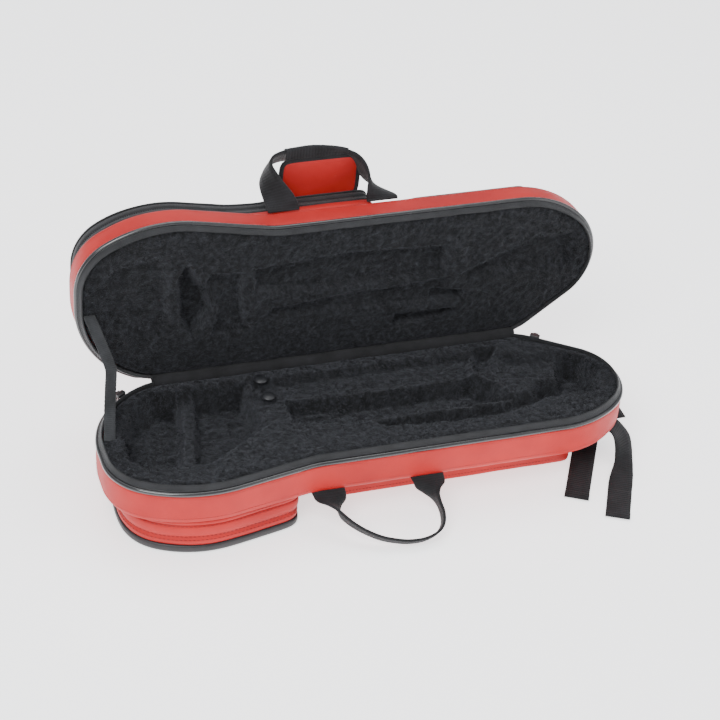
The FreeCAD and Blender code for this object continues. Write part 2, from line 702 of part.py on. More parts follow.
def anchorPair(label, middle, span, level, front, length, place, low):
    body = newBody(label)
    tabs = planSketch(body, level)
    for leg in ("- 0.5*", "+ 0.5*"):
        mid = middle + " " + leg + span
        rectangle(tabs, mid + " - 0.5*handleWebbing", mid + " + 0.5*handleWebbing",
                  front, front + " + " + length)
    pad(body, tabs, "webbingThick", down=low)
    keep(body, place)


def handleLoop(label, span, reach, wide, place):
    # legs lie flat, then the webbing turns on edge and makes an arch
    body = newBody(label)
    legs = planSketch(body)
    for leg in ("- 0.5*", "0.5*"):
        rectangle(legs, leg + span + " - 0.5*handleWebbing", leg + span + " + 0.5*handleWebbing",
                  "0", "legFlat")
    pad(body, legs, "webbingThick", both=True)
    arch = planSketch(body)
    for inset in ("0.5*webbingThick", "- 0.5*webbingThick"):
        archOutline(arch, span, reach, inset)
    pad(body, arch, wide, both=True)
    keep(body, place)


def archOutline(sketch, span, reach, grow):
    # two legs and a cross run joined by round corners; the two outlines close at the feet
    outer = not grow.startswith("-")
    half = "0.5*" + span + " " + (("+ " + grow) if outer else grow)
    top = reach + " " + (("+ " + grow) if outer else grow)
    round_ = worth("handleRound") + worth(grow)
    x, y, foot = worth(half), worth(top), worth("legFlat - 1")
    lines = [((-x, foot), (-x, y - round_)), ((round_ - x, y), (x - round_, y)), ((x, y - round_), (x, foot))]
    geo = [sketch.addGeometry(Part.LineSegment(Vector(*a, 0), Vector(*b, 0)), False) for a, b in lines]
    arcs = []
    for centreX, begin in ((round_ - x, 90), (x - round_, 0)):
        ring = Part.Circle(Vector(centreX, y - round_, 0), Vector(0, 0, 1), round_)
        arcs.append(sketch.addGeometry(
            Part.ArcOfCircle(ring, math.radians(begin), math.radians(begin + 90)), False))
    joins = [(geo[0], 2, arcs[0], 2), (arcs[0], 1, geo[1], 1), (geo[1], 2, arcs[1], 2), (arcs[1], 1, geo[2], 1)]
    for join in joins:
        sketch.addConstraint(Sketcher.Constraint("Tangent", *join))
    sketch.addConstraint(Sketcher.Constraint("Vertical", geo[0]))
    sketch.addConstraint(Sketcher.Constraint("Vertical", geo[2]))
    measure(sketch, "DistanceX", (-1, 1, geo[0], 1), minus(half))
    measure(sketch, "DistanceX", (-1, 1, geo[2], 2), half)
    measure(sketch, "DistanceY", (-1, 1, geo[1], 1), top)
    for corner in arcs:
        measure(sketch, "Radius", (corner,), "handleRound " + (("+ " + grow) if outer else grow))
    for end in ((geo[0], 1), (geo[2], 2)):
        measure(sketch, "DistanceY", (-1, 1, *end), "legFlat - 1")
    if not outer:
        # close the band at its two feet
        wide = worth("0.5*" + span) + worth("0.5*webbingThick")
        for sign, end in ((-1, (geo[0], 1)), (1, (geo[2], 2))):
            foot_ = sketch.addGeometry(Part.LineSegment(
                Vector(sign * x, foot, 0), Vector(sign * wide, foot, 0)), False)
            sketch.addConstraint(Sketcher.Constraint("Coincident", foot_, 1, *end))
            other = (0, 1) if sign < 0 else (2, 2)
            sketch.addConstraint(Sketcher.Constraint("Coincident", foot_, 2, *other))


axisY = -(worth(frontWidth) + worth("wallReach + axisOut"))
lidHandlePlace = "waistPlace + lidHandleStep"
baseHandlePlace = "waistPlace + baseHandleStep"
lidAxis = lidPoint(worth(lidHandlePlace), axisY, size["lidDepth"] + size["axisOut"])
baseAxis = basePlace.multVec(Vector(worth(baseHandlePlace), axisY - size["axisGap"],
                                    -worth("baseDepth + 0.5*webbingThick")))
anchorPair("lid_handle_anchors", lidHandlePlace, "lidHandleSpan", "lidDepth",
           minus(frontWidth) + " - wallReach - axisOut + axisGap", "lidAnchorLong - fitGap", lidPlace, False)
anchorPair("base_handle_anchors", baseHandlePlace, "baseHandleSpan", "- baseDepth",
           minus(frontWidth) + " - wallReach - axisOut", "baseAnchorLong", basePlace, True)
handleLoop("lid_handle_loop", "lidHandleSpan", "lidHandleReach", "lidGripWide",
           Placement(lidAxis, Rotation(Vector(1, 0, 0), size["lidHandleLean"])))
handleLoop("base_handle_loop", "baseHandleSpan", "baseHandleReach", "baseGripWide",
           Placement(baseAxis, Rotation(Vector(0, 0, 1), 180).multiply(
               Rotation(Vector(1, 0, 0), -size["baseHandleFall"]))))

arm = math.radians(size["lidHandleLean"])
gripMiddle = lidAxis + Vector(0, math.cos(arm), math.sin(arm)) * size["lidHandleReach"]
gripEdge = gripMiddle + Vector(0, -math.sin(arm), math.cos(arm)) * (size["lidGripWide"] / 2)

strip = newBody("grip_hook_strip")
outline = planSketch(strip)
rectangle(outline, "- 0.5*hookStripLong", "0.5*hookStripLong",
          "- 0.4*lidGripWide", "0.4*lidGripWide")
pad(strip, outline, "hookStripThick")
turnOut = Rotation(Vector(1, 0, 0), size["lidHandleLean"]).multiply(Rotation(Vector(1, 0, 0), -90))
outside = Vector(0, math.cos(arm), math.sin(arm)) * (size["webbingThick"] / 2)
keep(strip, Placement(gripMiddle + outside, turnOut))

# the pad hangs from the grip's front edge
padAxis = gripEdge - Vector(0, worth("padThick + fitGap"), worth("0.5*webbingThick"))
padPlace = Placement(padAxis, Rotation(Vector(1, 0, 0), 90))


def padPiece(label, inset, thick, hollow):
    body = newBody(label)
    outline = planSketch(body, "- 0.5*" + thick)
    rectangle(outline, "- 0.5*padLong + " + inset, "0.5*padLong - " + inset,
              "- padDrop - padDeep + " + inset, "- padDrop - " + inset)
    pad(body, outline, thick)
    half = worth(thick) / 2
    fillet(body, uprightEdges(body.Tip.Shape, -half, half, lambda box: True), "padRound - " + inset)
    if hollow:
        inside = planSketch(body, "- 0.5*" + thick)
        rectangle(inside, "- 0.5*padLong + padBinding", "0.5*padLong - padBinding",
                  "- padDrop - padDeep + padBinding", "- padDrop - padBinding")
        pocket(body, inside, thick, up=True)
        fillet(body, uprightEdges(body.Tip.Shape, -half, half, lambda box: True),
               "padRound - padBinding")
    keep(body, padPlace)


padPiece("grip_pad_binding", "0", "padThick", True)
padPiece("grip_pad_panel", "padBinding", "0.8*padThick", False)

flap = newBody("grip_pad_flap")
outline = planSketch(flap, "- 0.4*padThick")
rectangle(outline, "- 0.5*hookStripLong", "0.5*hookStripLong", "- padDrop", "0")
pad(flap, outline, "0.8*padThick")
keep(flap, padPlace)


# ---------- strap tails and lid stay ----------

def strapAnchor(label, x, y):
    body = newBody(label)
    tab = planSketch(body, "- baseDepth")
    rectangle(tab, x + " - tailAnchorLong", x + " + 0.5*tailWide", y + " - 0.5*tailWide", y + " + 0.5*tailWide")
    pad(body, tab, "webbingThick", down=True)
    keep(body, basePlace)


def strapTail(label, x, y, direction, run):
    # flat webbing: level out of its anchor, down in an S, then flat along the floor
    body = newBody(label)
    path = planSketch(body, "0", "XZ_Plane")
    high = "- baseDepth - webbingThick - 0.5*tailThick"
    low = "fitGap - standHeight + 0.5*tailThick"
    turn = math.radians(size["tailTurn"])
    bend = size["tailBend"]
    top, floor = worth(high), worth(low)
    slope = (top - floor - 2 * bend * (1 - math.cos(turn))) / math.sin(turn)
    a = Vector(size["tailLevel"], top, 0)
    b = a + Vector(bend * math.sin(turn), -bend * (1 - math.cos(turn)), 0)
    c = b + Vector(slope * math.cos(turn), -slope * math.sin(turn), 0)
    d = c + Vector(bend * math.sin(turn), -bend * (1 - math.cos(turn)), 0)
    upper = Part.ArcOfCircle(Part.Circle(a - Vector(0, bend, 0), Vector(0, 0, 1), bend),
                             math.pi / 2 - turn, math.pi / 2)
    lower = Part.ArcOfCircle(Part.Circle(d + Vector(0, bend, 0), Vector(0, 0, 1), bend),
                             1.5 * math.pi - turn, 1.5 * math.pi)
    runs = [sketchLine(path, Vector(0, top, 0), a), path.addGeometry(upper, False), sketchLine(path, b, c),
            path.addGeometry(lower, False), sketchLine(path, d, Vector(run, floor, 0))]
    joins = [(runs[0], 2, runs[1], 2), (runs[1], 1, runs[2], 1), (runs[2], 2, runs[3], 1),
             (runs[3], 2, runs[4], 1)]
    for join in joins:
        path.addConstraint(Sketcher.Constraint("Tangent", *join))
    path.addConstraint(Sketcher.Constraint("Horizontal", runs[0]))
    path.addConstraint(Sketcher.Constraint("Horizontal", runs[4]))
    pinPoint(path, runs[0], 1, "0", high)
    measure(path, "DistanceX", (-1, 1, runs[0], 2), "tailLevel")
    measure(path, "DistanceY", (-1, 1, runs[4], 2), low)
    for corner in (runs[1], runs[3]):
        measure(path, "Radius", (corner,), "tailBend")
    section = planSketch(body, "0", "YZ_Plane")
    rectangle(section, "- 0.5*tailWide", "0.5*tailWide", high + " - 0.5*tailThick", high + " + 0.5*tailThick")
    sweep = body.newObject("PartDesign::AdditivePipe", label + "_sweep")
    sweep.Profile = section
    sweep.Spine = (path, [])
    doc.recompute()
    at = basePlace.multiply(Placement(Vector(worth(x), worth(y), 0), Rotation(Vector(0, 0, 1), direction)))
    keep(body, at)


def sketchLine(sketch, first, last):
    return sketch.addGeometry(Part.LineSegment(first, last), False)


# plan place of each tail's start, its heading in degrees and its length on the floor
tails = {
    "left": (neckPlace + " + neckEndStep + neckEndRadius - 12", "- 83", 241.6, 154),
    "right": (neckPlace + " + neckEndStep + neckEndRadius", "- 117", 252, 152),
}
for name, (x, y, direction, run) in tails.items():
    strapAnchor("strap_anchor_" + name, x, y)
    strapTail("strap_tail_" + name, x, y, direction, run)

stay = newBody("lid_stay")
outline = planSketch(stay, "fitGap + 0.5*stayThick", "YZ_Plane")
polygon(outline, [("- stayBase", "- liningDrop"), ("- stayKink", "stayKinkRise"), ("0.09*stayTop", "stayTop"),
                  ("0.09*stayTop", "stayTop + 1.6*stayThick"), ("- stayKink", "stayKinkRise + 1.6*stayThick"),
                  ("- stayBase", "1.6*stayThick - liningDrop")])
pad(stay, outline, "stayWide")
keep(stay, basePlace)


# ---------- zip sliders and pulls ----------

def zipSlider(label, spot, twist, place):
    # rounded slider body, long side along local X, bottom at local Z = 0
    body = newBody(label)
    outline = planSketch(body)
    rectangle(outline, "- 0.5*sliderLong", "0.5*sliderLong", "- 0.5*sliderWide", "0.5*sliderWide")
    pad(body, outline, "sliderThick")
    fillet(body, uprightEdges(body.Tip.Shape, 0, size["sliderThick"], lambda box: True), "0.3*sliderWide")
    fillet(body, flatEdges(body.Tip.Shape, size["sliderThick"]), "0.2*sliderThick")
    keep(body, place.multiply(Placement(spot, twist)))


def zipPull(label, spot, twist, place):
    # flat pull hanging along local -Y from its turning axis, local X, with a finger slot
    body = newBody(label)
    outline = planSketch(body, "- 0.5*pullThick")
    rectangle(outline, "- 0.5*pullWide", "0.5*pullWide", "- pullLong", "0.5*pullThick")
    pad(body, outline, "pullThick")
    half = size["pullThick"] / 2
    low = uprightEdges(body.Tip.Shape, -half, half, lambda box: box.YMin < -size["pullLong"] / 2)
    fillet(body, low, "0.4*pullWide")
    slot = planSketch(body, "- 0.5*pullThick")
    rectangle(slot, "- 0.2*pullWide", "0.2*pullWide", "- 0.85*pullLong", "- 0.45*pullLong")
    pocket(body, slot, "pullThick", up=True)
    keep(body, place.multiply(Placement(spot, twist)))


def rimSpot(centre, turn, grow, level):
    spot = turned(rimCentres()[centre], size[centre + "Radius"] + grow, turn)
    return Vector(spot.x, spot.y, level)


upright = Rotation(Vector(1, 0, 0), 90)
sliderLevel = -worth("tapeDrop - fitGap")
for name, centre, turn in (("left", "bellBack", 125), ("right", "neckBack", 50)):
    along = Rotation(Vector(0, 0, 1), turn + 90)
    out = worth("tapeReach + 0.5*sliderWide + fitGap")
    zipSlider("main_slider_" + name, rimSpot(centre, turn, out, sliderLevel), along, basePlace)
    out += worth("0.5*sliderWide + 0.75*pullThick + fitGap")
    zipPull("main_pull_" + name, rimSpot(centre, turn, out, sliderLevel + size["sliderThick"] / 2),
            along.multiply(upright), basePlace)

zipLevel = "- 0.5*baseDepth - 0.5*standHeight + bumperHeight"
track = newBody("bell_pocket_zip")
outline = planSketch(track, "bellPocketEnd", "YZ_Plane")
rectangle(outline, "- pocketBack - 15*pocketRound", "- pocketBack - 2*pocketRound",
          zipLevel + " - 0.5*sliderWide", zipLevel + " + 0.5*sliderWide")
pad(track, outline, "0.5*webbingThick")
keep(track, basePlace)
sideways = Rotation(Vector(0, 1, 0), 90)
across = -worth("pocketBack + 5*pocketRound")
face = worth("bellPocketEnd + 0.5*webbingThick")
zipSlider("bell_pocket_slider", Vector(face, across, worth(zipLevel)),
          sideways.multiply(Rotation(Vector(0, 0, 1), 90)), basePlace)
hang = face + worth("sliderThick + 0.75*pullThick + fitGap")
zipPull("bell_pocket_pull", Vector(hang, across, worth(zipLevel)),
        Rotation(Vector(0, 0, 1), 90).multiply(upright), basePlace)

bandLevel = worth("lidDepth + lidPocketGusset + 0.5*lidZipBand")
along = -worth("pocketBack + 10*pocketRound")
zipSlider("lid_pocket_slider", Vector(size["lidPocketEnd"], along, bandLevel),
          sideways.multiply(Rotation(Vector(0, 0, 1), 90)), lidPlace)
hang = worth("lidPocketEnd + sliderThick + 0.75*pullThick + fitGap")
zipPull("lid_pocket_pull", Vector(hang, along, bandLevel),
        Rotation(Vector(0, 1, 0), 90).multiply(Rotation(Vector(0, 0, 1), 180)), lidPlace)


# ---------- checks and files ----------

doc.recompute()
for item in doc.Objects:
    if "Invalid" in item.State or "Error" in item.State:
        raise RuntimeError(item.Label + " did not build")
for label, item in nodes.items():
    if item.Shape.isNull() or not item.Shape.isValid():
        raise RuntimeError(label + " has no sound shape")
os.makedirs("parts", exist_ok=True)
for label, item in nodes.items():
    item.Shape.exportStep("parts/" + label + ".step")
print(len(nodes), "pieces written")
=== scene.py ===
import json
import math
import random

import bmesh
import bpy
import numpy as np
from mathutils import Matrix, Vector, noise

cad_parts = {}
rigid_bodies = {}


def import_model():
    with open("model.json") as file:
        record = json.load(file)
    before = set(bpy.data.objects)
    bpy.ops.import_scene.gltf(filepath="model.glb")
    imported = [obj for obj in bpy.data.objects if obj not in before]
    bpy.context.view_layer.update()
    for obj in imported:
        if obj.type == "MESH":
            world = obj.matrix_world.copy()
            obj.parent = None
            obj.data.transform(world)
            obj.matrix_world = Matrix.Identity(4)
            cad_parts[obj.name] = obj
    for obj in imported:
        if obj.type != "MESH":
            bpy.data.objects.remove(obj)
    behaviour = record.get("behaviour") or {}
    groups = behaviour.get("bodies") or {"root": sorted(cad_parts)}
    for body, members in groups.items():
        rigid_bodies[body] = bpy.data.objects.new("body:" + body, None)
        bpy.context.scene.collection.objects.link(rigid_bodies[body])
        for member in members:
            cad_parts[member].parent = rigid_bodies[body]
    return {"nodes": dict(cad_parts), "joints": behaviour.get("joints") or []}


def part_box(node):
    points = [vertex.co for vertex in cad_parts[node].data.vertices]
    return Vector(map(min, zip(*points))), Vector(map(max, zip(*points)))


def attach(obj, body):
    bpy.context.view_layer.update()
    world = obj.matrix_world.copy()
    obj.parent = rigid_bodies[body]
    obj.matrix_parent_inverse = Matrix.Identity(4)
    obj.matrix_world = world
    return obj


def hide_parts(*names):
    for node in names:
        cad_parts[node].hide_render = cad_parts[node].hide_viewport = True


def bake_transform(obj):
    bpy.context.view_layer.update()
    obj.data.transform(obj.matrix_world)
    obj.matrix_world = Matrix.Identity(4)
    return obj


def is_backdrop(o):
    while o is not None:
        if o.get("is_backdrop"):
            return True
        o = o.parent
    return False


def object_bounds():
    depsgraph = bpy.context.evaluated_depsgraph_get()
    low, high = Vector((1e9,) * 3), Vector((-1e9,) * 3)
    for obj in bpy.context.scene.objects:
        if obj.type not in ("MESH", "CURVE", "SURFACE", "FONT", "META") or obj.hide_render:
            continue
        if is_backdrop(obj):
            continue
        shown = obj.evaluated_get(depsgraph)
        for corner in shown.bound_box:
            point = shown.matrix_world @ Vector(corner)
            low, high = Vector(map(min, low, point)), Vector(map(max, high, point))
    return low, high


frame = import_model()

for startPiece in [o for o in bpy.data.objects if o.name in ("Cube", "Light", "Camera")]:
    bpy.data.objects.remove(startPiece)
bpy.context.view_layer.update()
random.seed(11)
joints = {joint["name"]: joint for joint in frame["joints"]}
hinge = joints["lid_hinge"]
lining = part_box("base_lining")
mm = 0.001

# case axes: x from the bell end, y back to the hinge at 0, z up from the rim plane
atBase = Matrix.Translation((lining[0].x - 0.3 * mm, hinge["pos_m"][1], hinge["pos_m"][2]))
atLid = atBase @ Matrix.Rotation(-math.radians(hinge["range_deg"][1]), 4, "X")


# ---------- materials ----------

def newMaterial(name, color, roughness, sheen=0.0, coat=0.0, specular=0.5):
    mat = bpy.data.materials.new(name)
    mat.use_nodes = True
    tree = mat.node_tree
    shader = tree.nodes["Principled BSDF"]
    shader.inputs["Base Color"].default_value = (*color, 1)
    shader.inputs["Roughness"].default_value = roughness
    shader.inputs["Specular IOR Level"].default_value = specular
    shader.inputs["Sheen Weight"].default_value = sheen
    shader.inputs["Coat Weight"].default_value = coat
    return mat, tree, shader


def addNode(tree, kind, **values):
    node = tree.nodes.new(kind)
    for key, value in values.items():
        if key in node.inputs.keys():
            node.inputs[key].default_value = value
        else:
            setattr(node, key, value)
    return node


def coords(tree, which="Object"):
    return tree.nodes.new("ShaderNodeTexCoord").outputs[which]


def noiseNode(tree, scale, detail=4, rough=0.6, source=None):
    node = addNode(tree, "ShaderNodeTexNoise", Scale=scale, Detail=detail, Roughness=rough)
    tree.links.new(source or coords(tree), node.inputs["Vector"])
    return node.outputs["Fac"]


def mixColors(tree, factor, low, high):
    ramp = addNode(tree, "ShaderNodeValToRGB")
    for element, (place, color) in zip(ramp.color_ramp.elements, (low, high)):
        element.position = place
        element.color = (*color, 1)
    tree.links.new(factor, ramp.inputs["Fac"])
    return ramp.outputs["Color"]


def combine(tree, operation, a, b):
    node = addNode(tree, "ShaderNodeMath", operation=operation)
    for socket, value in zip(node.inputs, (a, b)):
        if isinstance(value, (int, float)):
            socket.default_value = value
        else:
            tree.links.new(value, socket)
    return node.outputs[0]


def bumpInto(tree, shader, height, strength, distance):
    bump = addNode(tree, "ShaderNodeBump", Strength=strength, Distance=distance)
    tree.links.new(height, bump.inputs["Height"])
    tree.links.new(bump.outputs["Normal"], shader.inputs["Normal"])


def scaled(tree, factor, low, high):
    node = addNode(tree, "ShaderNodeMapRange")
    node.inputs["To Min"].default_value, node.inputs["To Max"].default_value = low, high
    tree.links.new(factor, node.inputs["Value"])
    return node.outputs[0]


def leatherette(name, dark, light):
    # pressed pebble grain, faint scuffs, a slow change of colour
    mat, tree, shader = newMaterial(name, light, 0.5, sheen=0.0, specular=0.3)
    cells = addNode(tree, "ShaderNodeTexVoronoi", Scale=900, feature="DISTANCE_TO_EDGE")
    tree.links.new(coords(tree), cells.inputs["Vector"])
    grain = combine(tree, "MINIMUM", cells.outputs["Distance"], 0.3)
    waves = noiseNode(tree, 60, 3)
    height = combine(tree, "ADD", grain, combine(tree, "MULTIPLY", waves, 0.5))
    bumpInto(tree, shader, height, 0.3, 0.0006)
    shade = mixColors(tree, noiseNode(tree, 9, 5, 0.65), (0.3, dark), (0.7, light))
    scuff = mixColors(tree, noiseNode(tree, 55, 8, 0.72), (0.66, (0, 0, 0)), (0.74, (1, 1, 1)))
    mix = addNode(tree, "ShaderNodeMix", data_type="RGBA")
    tree.links.new(combine(tree, "MULTIPLY", scuff, 0.12), mix.inputs[0])
    tree.links.new(shade, mix.inputs[6])
    mix.inputs[7].default_value = (0.7, 0.2, 0.17, 1)
    tree.links.new(mix.outputs[2], shader.inputs["Base Color"])
    tree.links.new(scaled(tree, noiseNode(tree, 30, 4), 0.38, 0.62), shader.inputs["Roughness"])
    return mat


def woven(name, dark, light, pitch, ribs=0.0, roughness=0.8, sheen=0.25):
    # threads along and across the UV, pitch threads to the metre
    mat, tree, shader = newMaterial(name, light, roughness, sheen=sheen, specular=0.3)
    split = addNode(tree, "ShaderNodeSeparateXYZ")
    tree.links.new(coords(tree, "UV"), split.inputs[0])
    along = combine(tree, "SINE", combine(tree, "MULTIPLY", split.outputs[0], pitch * 6.283), 0)
    across = combine(tree, "SINE", combine(tree, "MULTIPLY", split.outputs[1], pitch * 6.283), 0)
    weave = combine(tree, "MULTIPLY", along, across)
    if ribs:
        rib = combine(tree, "SINE", combine(tree, "MULTIPLY", split.outputs[0], ribs * 6.283), 0)
        weave = combine(tree, "ADD", combine(tree, "MULTIPLY", weave, 0.4), combine(tree, "MULTIPLY", rib, 0.5))
    fuzz = noiseNode(tree, 1400, 3)
    height = combine(tree, "ADD", weave, combine(tree, "MULTIPLY", fuzz, 0.8))
    bumpInto(tree, shader, height, 0.55, 0.0004)
    tone = combine(tree, "ADD", combine(tree, "MULTIPLY", weave, 0.16), noiseNode(tree, 45, 5))
    tree.links.new(mixColors(tree, tone, (0.3, dark), (0.75, light)), shader.inputs["Base Color"])
    tree.links.new(scaled(tree, fuzz, roughness - 0.12, roughness + 0.1), shader.inputs["Roughness"])
    return mat


def smooth(name, dark, light, roughness, coat=0.0, wear=0.2):
    # moulded rubber, vinyl or paint with a light haze and fine marks
    mat, tree, shader = newMaterial(name, light, roughness, coat=coat)
    shader.inputs["Coat Roughness"].default_value = 0.12
    haze = noiseNode(tree, 70, 6, 0.7)
    fine = noiseNode(tree, 900, 3)
    bumpInto(tree, shader, combine(tree, "ADD", haze, combine(tree, "MULTIPLY", fine, 0.25)), 0.15, 0.0006)
    tree.links.new(mixColors(tree, haze, (0.35, dark), (0.7, light)), shader.inputs["Base Color"])
    tree.links.new(scaled(tree, haze, roughness - wear * 0.4, roughness + wear), shader.inputs["Roughness"])
    return mat


def plushMaterial(name, tint):
    # crushed pile with a painted sheen: patches of the base colour are painted far lighter where the pile would
    # shine, and the others stay nearly black
    mat, tree, shader = newMaterial(name, tint, 0.7, sheen=0.15, specular=0.25)
    shader.inputs["Sheen Roughness"].default_value = 0.35
    shader.inputs["Sheen Tint"].default_value = (0.75, 0.78, 0.88, 1)
    clump = noiseNode(tree, 190, 5, 0.7)
    pile = noiseNode(tree, 700, 4, 0.7)
    bumpInto(tree, shader, combine(tree, "ADD", clump, combine(tree, "MULTIPLY", pile, 0.6)), 1.0, 0.004)
    tone = combine(tree, "ADD", clump, combine(tree, "MULTIPLY", pile, 0.45))
    paintedSheen = addNode(tree, "ShaderNodeMapRange")
    paintedSheen.inputs["From Min"].default_value, paintedSheen.inputs["From Max"].default_value = 0.67, 0.98
    tree.links.new(tone, paintedSheen.inputs["Value"])
    # painted sheen: the light end of the base colour is 25 times the dark end and stands in for the pile's shine
    dark, light = tuple(c * 0.3 for c in tint), tuple(c * 7.5 for c in tint)
    tree.links.new(mixColors(tree, paintedSheen.outputs[0], (0.0, dark), (1.0, light)), shader.inputs["Base Color"])
    tree.links.new(scaled(tree, pile, 0.5, 0.85), shader.inputs["Roughness"])
    return mat


redLeather = leatherette("redLeatherette", (0.36, 0.008, 0.007), (0.5, 0.017, 0.014))
redLid = leatherette("redLidWall", (0.34, 0.009, 0.008), (0.47, 0.02, 0.017))
tapeCloth = woven("zipTapeCloth", (0.006, 0.0065, 0.0075), (0.02, 0.021, 0.024), 900, roughness=0.5, sheen=0.1)
webbingCloth = woven("blackWebbing", (0.0025, 0.0025, 0.003), (0.012, 0.012, 0.014), 520, ribs=260, sheen=0.1)
stayCloth = woven("stayWebbing", (0.008, 0.0085, 0.0095), (0.03, 0.032, 0.035), 600, ribs=420, sheen=0.15)
bindingCloth = woven("bindingTape", (0.003, 0.003, 0.0035), (0.013, 0.013, 0.015), 800, sheen=0.1)
hookCloth = woven("hookTape", (0.003, 0.003, 0.0035), (0.014, 0.014, 0.016), 700, roughness=0.9, sheen=0.1)
vinyl = smooth("pipingVinyl", (0.004, 0.004, 0.005), (0.012, 0.012, 0.013), 0.22, coat=0.7, wear=0.12)
rubber = smooth("bumperRubber", (0.006, 0.006, 0.007), (0.018, 0.018, 0.02), 0.42)
toothPlastic = smooth("toothPlastic", (0.006, 0.006, 0.007), (0.022, 0.022, 0.024), 0.3)
sliderPaint = smooth("sliderPaint", (0.01, 0.01, 0.01), (0.04, 0.04, 0.042), 0.3, coat=0.3)
studCap = smooth("studCap", (0.006, 0.0065, 0.0075), (0.02, 0.021, 0.024), 0.38)
plush = plushMaterial("blackPlush", (0.004, 0.0043, 0.0052))
redThread = smooth("redThread", (0.22, 0.02, 0.018), (0.42, 0.07, 0.06), 0.6)
blackThread = smooth("blackThread", (0.006, 0.006, 0.006), (0.03, 0.03, 0.032), 0.6)
print("materials made")


# ---------- meshes ----------

def finishMesh(name, bm, mat, where=None, shade=True):
    if where is not None:
        bm.transform(where)
    bmesh.ops.recalc_face_normals(bm, faces=bm.faces)
    for face in bm.faces:
        face.smooth = shade
    mesh = bpy.data.meshes.new(name)
    bm.to_mesh(mesh)
    bm.free()
    mesh.materials.append(mat)
    obj = bpy.data.objects.new(name, mesh)
    bpy.context.scene.collection.objects.link(obj)
    return obj


def ribbon(bm, rings, closed=False, caps=True):
    # rings of points joined in order; UV is metres along and round
    uv = bm.loops.layers.uv.verify()
    rows = [[bm.verts.new(p) for p in ring] for ring in rings]
    count = len(rows[0])
    run = [0.0]
    for a, b in zip(rings, rings[1:] + rings[:1]):
        run.append(run[-1] + (Vector(b[0]) - Vector(a[0])).length)
    girth = [0.0]
    for i in range(count):
        girth.append(girth[-1] + (Vector(rings[0][(i + 1) % count]) - Vector(rings[0][i])).length)
    last = len(rows) if closed else len(rows) - 1
    for i in range(last):
        for k in range(count):
            face = bm.faces.new((rows[i][k], rows[i][(k + 1) % count],
                                 rows[(i + 1) % len(rows)][(k + 1) % count], rows[(i + 1) % len(rows)][k]))
            for loop, place in zip(face.loops, ((i, k), (i, k + 1), (i + 1, k + 1), (i + 1, k))):
                loop[uv].uv = (run[place[0]], girth[place[1]])
    if caps and not closed:
        for row in (rows[0], rows[-1]):
            bm.faces.new(row)
    return rows


def keep(obj, body, *nodes, slot=None):
    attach(obj, body)
    if nodes:
        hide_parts(*nodes)
    return obj


# ---------- the rim outline, in millimetres ----------

rim = {"bellWide": 206.5, "frontWide": 184.0, "neckAt": 565.0, "bellBack": 111.5, "bellFront": 63.0,
       "bulge": 163.0, "bulgeAt": 110.0, "waistAt": 256.0, "waist": 150.0, "neckFront": 119.0,
       "neckEndStep": 35.0, "neckEnd": 66.0, "neckBackStep": 20.0, "neckBack": 70.0, "back": 0.3}


def arcPoints(centre, radius, start, stop, step):
    count = max(2, int(abs(math.radians(stop - start)) * radius / step))
    for i in range(count):
        a = math.radians(start + (stop - start) * i / count)
        yield (centre[0] + radius * math.cos(a), centre[1] + radius * math.sin(a), math.cos(a), math.sin(a))


def rimLine(reach=0.0, step=3.0, cut=None):
    # (x, y, outward x, outward y) round the rim; the ends stop where a line "reach" outside meets the hinge
    bellBack = (rim["bellBack"], -rim["bellBack"])
    bulge = (rim["bulgeAt"], rim["bulge"] - rim["bellWide"])
    across, apart = rim["bulgeAt"] - rim["bellFront"], rim["bulge"] - rim["bellFront"]
    bellFront = (rim["bellFront"], bulge[1] - math.sqrt(apart ** 2 - across ** 2))
    waist = (rim["waistAt"], -rim["frontWide"] - rim["waist"])
    neckFront = (rim["neckAt"], -rim["frontWide"] + rim["neckFront"])
    apart = rim["neckFront"] - rim["neckEnd"]
    neckEnd = (neckFront[0] + rim["neckEndStep"],
               neckFront[1] - math.sqrt(apart ** 2 - rim["neckEndStep"] ** 2))
    neckBack = (rim["neckAt"] - rim["neckBackStep"], -rim["neckBack"])

    def turn(a, b):
        return math.degrees(math.atan2(b[1] - a[1], b[0] - a[0]))

    def apartFrom(a, b):
        return math.hypot(b[0] - a[0], b[1] - a[1])

    flank = turn(bulge, waist) - math.degrees(math.acos(
        (rim["bulge"] + rim["waist"]) / apartFrom(bulge, waist)))
    slant = turn(neckEnd, neckBack) - math.degrees(
        math.acos((rim["neckEnd"] - rim["neckBack"]) / apartFrom(neckEnd, neckBack)))
    ends = [math.degrees(math.asin((r - rim["back"]) / (r + reach + 0.01)))
            for r in (rim["bellBack"], rim["neckBack"])]
    bellTurn, endTurn = turn(bulge, bellFront) % 360, turn(neckFront, neckEnd) % 360
    line = list(arcPoints(bellBack, rim["bellBack"], 180 - ends[0], 180, step))
    line += list(arcPoints(bellFront, rim["bellFront"], 180, bellTurn, step))
    line += list(arcPoints(bulge, rim["bulge"], bellTurn, flank % 360, step))
    line += [(x, y, -c, -s) for x, y, c, s in arcPoints(waist, rim["waist"], flank + 180, 90, step)]
    x = waist[0]
    while x < neckFront[0]:
        line.append((x, -rim["frontWide"], 0.0, -1.0))
        x += step
    line += list(arcPoints(neckFront, rim["neckFront"], 270, endTurn, step))
    line += list(arcPoints(neckEnd, rim["neckEnd"], endTurn, 360 + slant, step))
    line += list(arcPoints(neckBack, rim["neckBack"], slant, ends[1], step))
    if cut is not None:
        line = [p for p in line if p[0] < cut]
    return respaced(line, step)


def respaced(line, step):
    # the same line at even spacing
    points = np.array(line, float)
    run = np.concatenate([[0], np.cumsum(np.hypot(*np.diff(points[:, :2], axis=0).T))])
    even = np.linspace(0, run[-1], max(2, int(run[-1] / step)) + 1)
    out = np.stack([np.interp(even, run, points[:, i]) for i in range(4)], 1)
    out[:, 2:] /= np.hypot(out[:, 2], out[:, 3])[:, None]
    return [tuple(p) for p in out]


